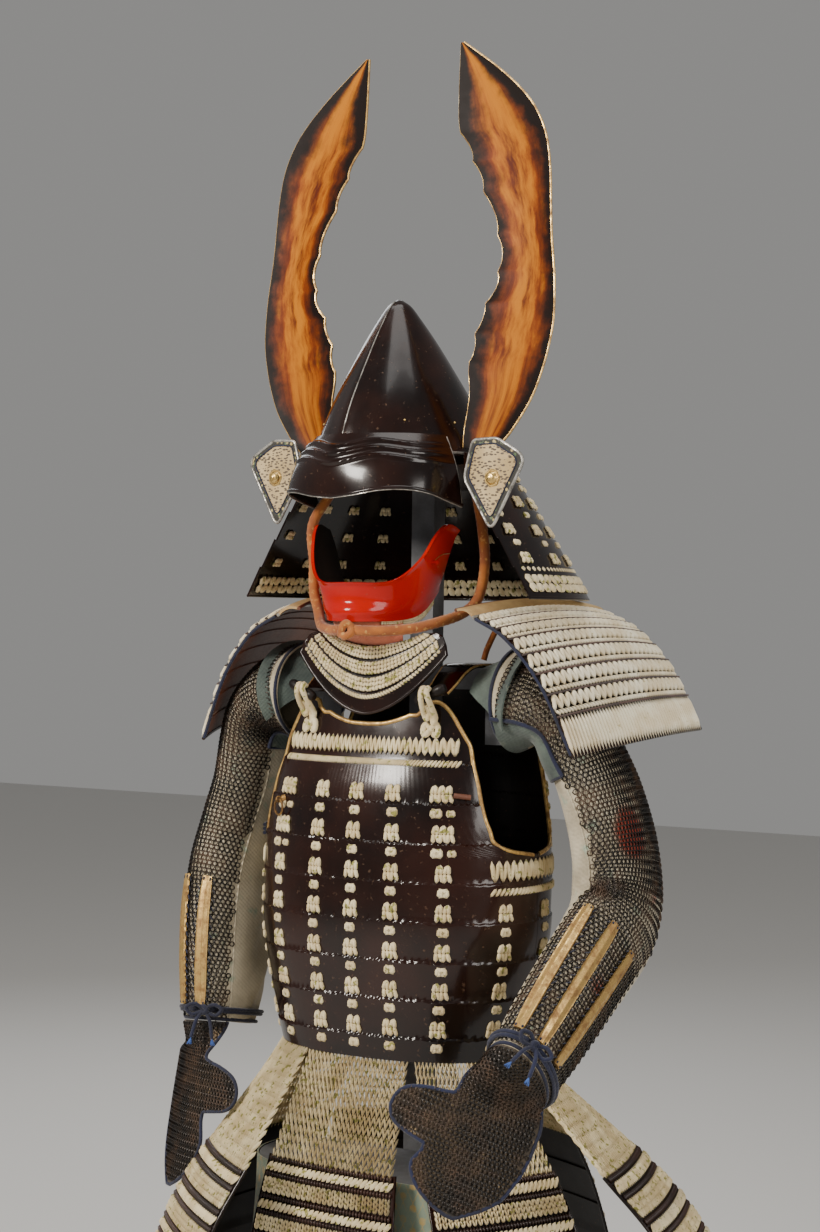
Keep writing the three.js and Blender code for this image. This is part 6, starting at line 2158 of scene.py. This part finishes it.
LEFT_ARM = Arm(
    "left",
    (
        (150, 10, 1030, 75, 60),
        (176, 16, 1028, 81, 50),
        (205, 26, 1009, 84, 42),
        (223, 33, 970, 87, 38),
        (244, 39, 920, 90, 40),
        (261, 40, 860, 92, 43),
        (268, 36, 805, 90, 46),
        (271, 17, 766, 85, 46),
        (270, -14, 742, 79, 44),
        (267, -52, 715, 74, 43),
        (262, -95, 682, 69, 41),
        (257, -136, 650, 62, 38),
        (252, -172, 620, 54, 33),
    ),
    135.0,
    (8.2, 11.55),
    11.75,
    (247, -189, 622),
    (-0.318, -0.195, -0.928),
    (0.5225, -0.8526, 0),
    (-0.79, -0.485, 0.373),
    0.0,
    ((0, 28), (3, 36), (5, 50), (7, 70), (9, 72), (11, 58), (12, 52)),
    ((0, 205), (3, 200), (4.5, 190), (6, 188), (7, 194), (8.3, 212), (10, 218), (12, 224)),
    150.0,
    3.4,
)
RIGHT_ARM = Arm(
    "right",
    (
        (-150, 10, 1030, 75, 60),
        (-176, 16, 1028, 80, 50),
        (-204, 26, 1007, 82, 42),
        (-221, 32, 968, 80, 40),
        (-234, 34, 910, 78, 41),
        (-245, 22, 855, 76, 42),
        (-251, 2, 800, 73, 43),
        (-252, -14, 745, 68, 41),
        (-250, -26, 690, 62, 38),
        (-249, -33, 650, 56, 35),
        (-247, -40, 612, 51, 31),
    ),
    157.5,
    (6.4, 9.5),
    9.65,
    (-264, -71, 608),
    (0.02, -0.1, -1),
    (-0.55, -0.83, 0),
    (0.83, -0.55, 0),
    0.55,
    ((0, 67), (10, 67)),
    ((0, 250), (3, 243), (6, 240), (8, 246), (10, 250)),
    208.0,
    2.9,
)


@dataclass
class ShoulderGuards:
    """The two laced shoulder guards with their top plates, cords and shoulder cloth."""

    front: tuple[tuple[float, float, float, float], ...] = (
        (0, 139, -84, 1124),
        (0.33, 180, -82, 1100),
        (0.62, 221, -76, 1050),
        (1, 259, -67, 968),
    )
    rear: tuple[tuple[float, float, float, float], ...] = (
        (0, 187, 163, 1130),
        (0.33, 228, 169, 1108),
        (0.62, 268, 174, 1066),
        (1, 307, 178, 993),
    )
    rows: int = 8

    def patch(self) -> Patch:
        """A guard's inner face, over the share from front to rear and the share down."""
        near = [Curve(*[(r[0], r[k]) for r in self.front]) for k in (1, 2, 3)]
        far = [Curve(*[(r[0], r[k]) for r in self.rear]) for k in (1, 2, 3)]

        def place(w: Array, s: Array) -> Array:
            """A point of the guard."""
            a = np.stack([c(s) for c in near], -1)
            b = np.stack([c(s) for c in far], -1)
            turn = np.radians(40 + 28 * s)
            out = stack(np.sin(turn) * 0.98, -np.sin(turn) * 0.2, np.cos(turn))
            return a + (b - a) * w[..., None] + out * (14 * (1 - (2 * w - 1) ** 2))[..., None]

        return Patch(place, -1.0, (1e-3, 1e-3))

    def make_guard(self, name: str, patch: Patch) -> None:
        """One guard with its braid, edges and lining.

        Args:
            name: the side's name.
            patch: its surface.
        """

        def step(w: Array, s: Array) -> Array:
            """How far each row stands out at its foot."""
            return 1.6 * ((s * self.rows) % 1.0)

        rows = np.concatenate([np.linspace(k, k + 0.98, 6) for k in range(self.rows)]) / self.rows
        guard = shell(f"shoulder_{name}", patch, np.linspace(0, 1, 35), rows, 2.4, LACQUER, BROWN_LEATHER, None, step)
        seat(guard, "lacing", f"sode_{name}")
        braid, ribs = Swarm(Form.bead()), Swarm(Form.bead())
        rows_end = 0.80
        for k in range(self.rows - 1):
            low, high = (k + 0.02) * rows_end / (self.rows - 1), (k + 1) * rows_end / (self.rows - 1)
            main = low + (high - low) * 0.66
            braid.span(patch, (0.01, 0.99), (low, main), 50, 1, Slant.BRAIDED, 4.6, 3.4, 1.3)
            braid.span(patch, (0.01, 0.99), (main, high - (high - low) * 0.06), 50, 1, Slant.ROPE, 3.8, 2.6, 1.2)
        ribs.span(patch, (0.005, 0.995), (rows_end, 0.995), 50, 1, Slant.UPRIGHT, 4.2, 3.4, 1.12)
        seat(braid.build(f"shoulder_braid_{name}", WHITE_BRAID), "lacing")
        seat(ribs.build(f"shoulder_ribs_{name}", WHITE_BRAID), "lacing")
        for label, w in (("front", 0.0), ("rear", 1.0)):
            line = patch.lifted(np.full(50, w), np.linspace(0.01, 0.99, 50), 1.4)
            seat(tube(f"shoulder_{label}_edge_{name}", line, 2.1, NAVY, 8), "navy")
        foot = patch.lifted(np.linspace(0, 1, 50), np.full(50, 0.995), 1.8)
        seat(tube(f"shoulder_foot_{name}", foot, 2.4, LACQUER, 8), "lacquer")
        for k in range(1, self.rows):
            line = patch.lifted(np.linspace(0.0, 1.0, 44), np.full(44, k * rows_end / (self.rows - 1)), 5.6)
            seat(tube(f"shoulder_row_{k}_{name}", line, 1.3, BROWN_BRAID, 6, False, 1.0, 2, 7.0), "lacing")

    def make_top(self, name: str, side: int) -> None:
        """The leather-faced top plate with its rolled brown edge.

        Args:
            name: the side's name.
            side: 1 or -1.
        """
        body = self.patch()
        inward = Curve((0, 2.5), (0.4, 9), (0.75, 18), (1, 28))
        rise = Curve((0, 1), (0.4, 7), (0.75, 10), (1, 9))

        def place(w: Array, t: Array) -> Array:
            """A point of the top plate."""
            return body.place(w, np.zeros(w.shape)) + stack(-inward(t), 0.2 * inward(t), rise(t))

        patch = Patch(place, 1.0)
        spot = patch.frame(np.array([0.5]), np.array([0.5]))
        if spot[3][0][2] < 0:
            patch.sign = -1.0
        if side < 0:
            patch = patch.mirrored()
        plate = shell(f"shoulder_top_{name}", patch, np.linspace(0, 1, 41), np.linspace(0, 1, 15), 3.0, LEATHER, BROWN_LEATHER)
        seat(plate, "leather", f"sode_top_{name}")
        for label, t, finish in (("outer", 0.0, SILVER), ("inner", 1.0, BROWN_LEATHER)):
            line = patch.lifted(np.linspace(0, 1, 50), np.full(50, t), 1.5)
            seat(tube(f"shoulder_top_{label}_{name}", line, 2.2, finish, 8), "leather")

    def make_cord(self, name: str, side: int) -> None:
        """The cord from the strap to the guard."""
        top = self.patch().place(np.array([0.4]), np.array([0.0]))[0] + [-27, 5, 2]
        path = smooth_path([(98, 12, 1075.2), (102, 14, 1090), (116, 18, 1118), top], 36) * [side, 1, 1]
        seat(tube(f"shoulder_cord_{name}", path, 3.8, ORANGE, 12, False, 1.0, 4, 18.0), "orange", f"sode_cord_{name}")

    def make_cloth(self, name: str, side: int) -> None:
        """The crumpled cloth between the strap and the sleeve."""
        arm = LEFT_ARM.oriented()

        def place(u: Array, t: Array) -> Array:
            """A point of the shoulder cloth."""
            end = arm.lifted(90 - u * 118, np.full(u.shape, 0.55), CLOTH + 7.5) + [-0.8, 0, 0]
            start = stack(np.full(u.shape, 109.6), 12 + u * 52, 1067 - 30 * np.abs(u) ** 2.5)
            spot = start + (end - start) * t[..., None]
            lift = 3 * np.sin(math.pi * t) * np.cos(6 * u)
            lift = lift + 3.0 * crumple(u * 12, t * 5, 3, 9, 1.6) * np.sin(math.pi * t)
            return spot + stack(-0.35 * lift, 0 * lift, lift)

        patch = Patch(place, 1.0)
        if patch.frame(np.array([0.0]), np.array([0.5]))[3][0][2] < 0:
            patch.sign = -1.0
        if side < 0:
            patch = patch.mirrored()
        cloth = shell(f"shoulder_wrap_{name}", patch, np.linspace(-1, 1, 47), np.linspace(0, 1, 25), CLOTH, SAGE)
        seat(cloth, "sage", f"shoulder_cloth_{name}")

    def build(self) -> None:
        """Makes both shoulders."""
        for name, side in (("left", 1), ("right", -1)):
            patch = self.patch()
            spot = patch.frame(np.array([0.5]), np.array([0.5]))
            if spot[3][0][2] < 0:
                patch.sign = -patch.sign
            if side < 0:
                patch = patch.mirrored()
            self.make_cord(name, side)
            self.make_guard(name, patch)
            self.make_top(name, side)
            self.make_cloth(name, side)


# ---------------------------------------------------------------- legs and stand


@dataclass
class ThighPanels:
    """The brocade thigh panels with their navy hems."""

    rows: tuple[tuple[float, float, float], ...] = (
        (469, 0, 0),
        (440, 1, 0.6),
        (380, 5, 3),
        (310, 10, 5),
        (240, 14, 7),
        (150, 17, 8.5),
    )

    def patch(self) -> Patch:
        """A panel's inner face, over the share round and the level."""
        grow = Curve(*[(z, g) for z, g, _ in self.rows])
        fold = Curve(*[(z, f) for z, _, f in self.rows])

        def place(u: Array, z: Array) -> Array:
            """A point of the panel."""
            radius = 88 + grow(z)
            front, arc = 70.0, radius * math.pi / 2
            reach = u * (front + arc + 73.0)
            turn = np.clip((reach - front) / radius, 0, math.pi / 2)
            nx, ny = np.sin(turn), -np.cos(turn)
            x = np.where(reach < front, 12 + reach, 82 + radius * nx)
            y = np.where(reach > front + arc, -35 + reach - front - arc, -35 + radius * ny)
            wave = fold(z) * np.sin(u * 5.5 * math.pi + 0.6)
            return stack(x + nx * wave, y + ny * wave, z)

        return Patch(place, 1.0, (1e-3, 0.1))

    def build(self) -> None:
        """Makes both panels."""
        body = self.patch()
        for name, patch in (("left", body), ("right", body.mirrored())):
            panel = shell(f"thigh_panel_{name}", patch, np.linspace(0, 1, 81), np.linspace(150, 469, 31), CLOTH, SILK, NAVY)
            seat(panel, "silk", f"haidate_{name}")
            hem = patch.lifted(np.linspace(0, 1, 120), np.full(120, 152.0), 1.4)
            seat(tube(f"thigh_hem_{name}", hem, 2.4, NAVY, 8), "navy")
            for label, u in (("inner", 0.003), ("outer", 0.997)):
                line = patch.lifted(np.full(50, u), np.linspace(152, 467, 50), 1.4)
                seat(tube(f"thigh_{label}_hem_{name}", line, 2.2, NAVY, 8), "navy")


@dataclass
class Stand:
    """The limbless stand: its own solids with their finishes."""

    parts: tuple[tuple[str, Finish], ...] = (
        ("stand_base", BOARD),
        ("stand_post", STAND),
        ("seat_board", STAND),
        ("yoke", STAND),
        ("head_cap", STAND),
    )

    def build(self) -> None:
        """Dresses the stand's nodes."""
        for node, finish in self.parts:
            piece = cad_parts[node]
            piece.data.materials.clear()
            piece.data.materials.append(finish.material())
            LOG.info("%s: dressed", node)


# ---------------------------------------------------------------- studio


@dataclass
class Studio:
    """The camera, the floor and the lights."""

    camera: tuple[float, float, float] = (1.463, -2.387, 1.127)
    turn: tuple[float, float, float] = (90.0, -0.8, 31.5)
    lens: float = 66.9
    lights: tuple[tuple[str, tuple[float, float, float], float, float, Colour], ...] = (
        ("key", (-1.3, -3.0, 2.6), 150.0, 0.9, (1.0, 0.94, 0.86)),
        ("fill", (3.4, -1.6, 1.9), 85.0, 1.8, (1.0, 0.96, 0.91)),
        ("rim", (-2.2, 2.2, 2.6), 30.0, 1.8, (0.95, 0.97, 1.0)),
        ("top", (0.4, -0.4, 4.2), 50.0, 2.0, (1.0, 0.98, 0.95)),
    )

    def make_camera(self) -> None:
        """The camera at the photograph's viewing angle."""
        data = bpy.data.cameras.new("camera")
        data.lens = self.lens
        data.sensor_width = 36.0
        camera = bpy.data.objects.new("camera", data)
        camera.location = self.camera
        camera.rotation_euler = tuple(math.radians(a) for a in self.turn)
        bpy.context.scene.collection.objects.link(camera)
        bpy.context.scene.camera = camera

    def make_lights(self) -> None:
        """Large soft lights that look at the chest."""
        for name, spot, power, size, colour in self.lights:
            data = bpy.data.lights.new(name, "AREA")
            data.energy = power
            data.size = size
            data.color = colour
            light = bpy.data.objects.new(name, data)
            light.location = spot
            aim = np.array([0.0, 0.0, 1.0]) - np.array(spot)
            pitch = math.atan2(math.hypot(aim[0], aim[1]), -aim[2])
            light.rotation_euler = (pitch, 0.0, math.atan2(aim[1], aim[0]) - math.pi / 2)
            bpy.context.scene.collection.objects.link(light)
        world = bpy.data.worlds.new("studio")
        world.use_nodes = True
        world.node_tree.nodes["Background"].inputs[0].default_value = (0.80, 0.79, 0.77, 1.0)
        world.node_tree.nodes["Background"].inputs[1].default_value = 0.34
        bpy.context.scene.world = world

    def make_floor(self) -> None:
        """The pale floor."""
        size = 9000.0
        points = np.array([[-size, -size, 0], [size, -size, 0], [size, size, 0], [-size, size, 0]], float)
        floor = add_mesh("floor", points, [np.array([[0, 1, 2, 3]])], [FLOOR])


def main() -> None:
    """Builds the dressed armour and keeps its size."""
    logging.basicConfig(level=logging.INFO)
    studio = Studio()
    studio.make_camera()
    studio.make_lights()
    studio.make_floor()
    FaceArmour().build()
    Helmet().build()
    cuirass = Cuirass()
    cuirass.build()
    Skirt(cuirass).build()
    LEFT_ARM.build()
    RIGHT_ARM.build()
    ShoulderGuards().build()
    ThighPanels().build()
    Stand().build()
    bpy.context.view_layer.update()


if __name__ == "__main__":
    main()
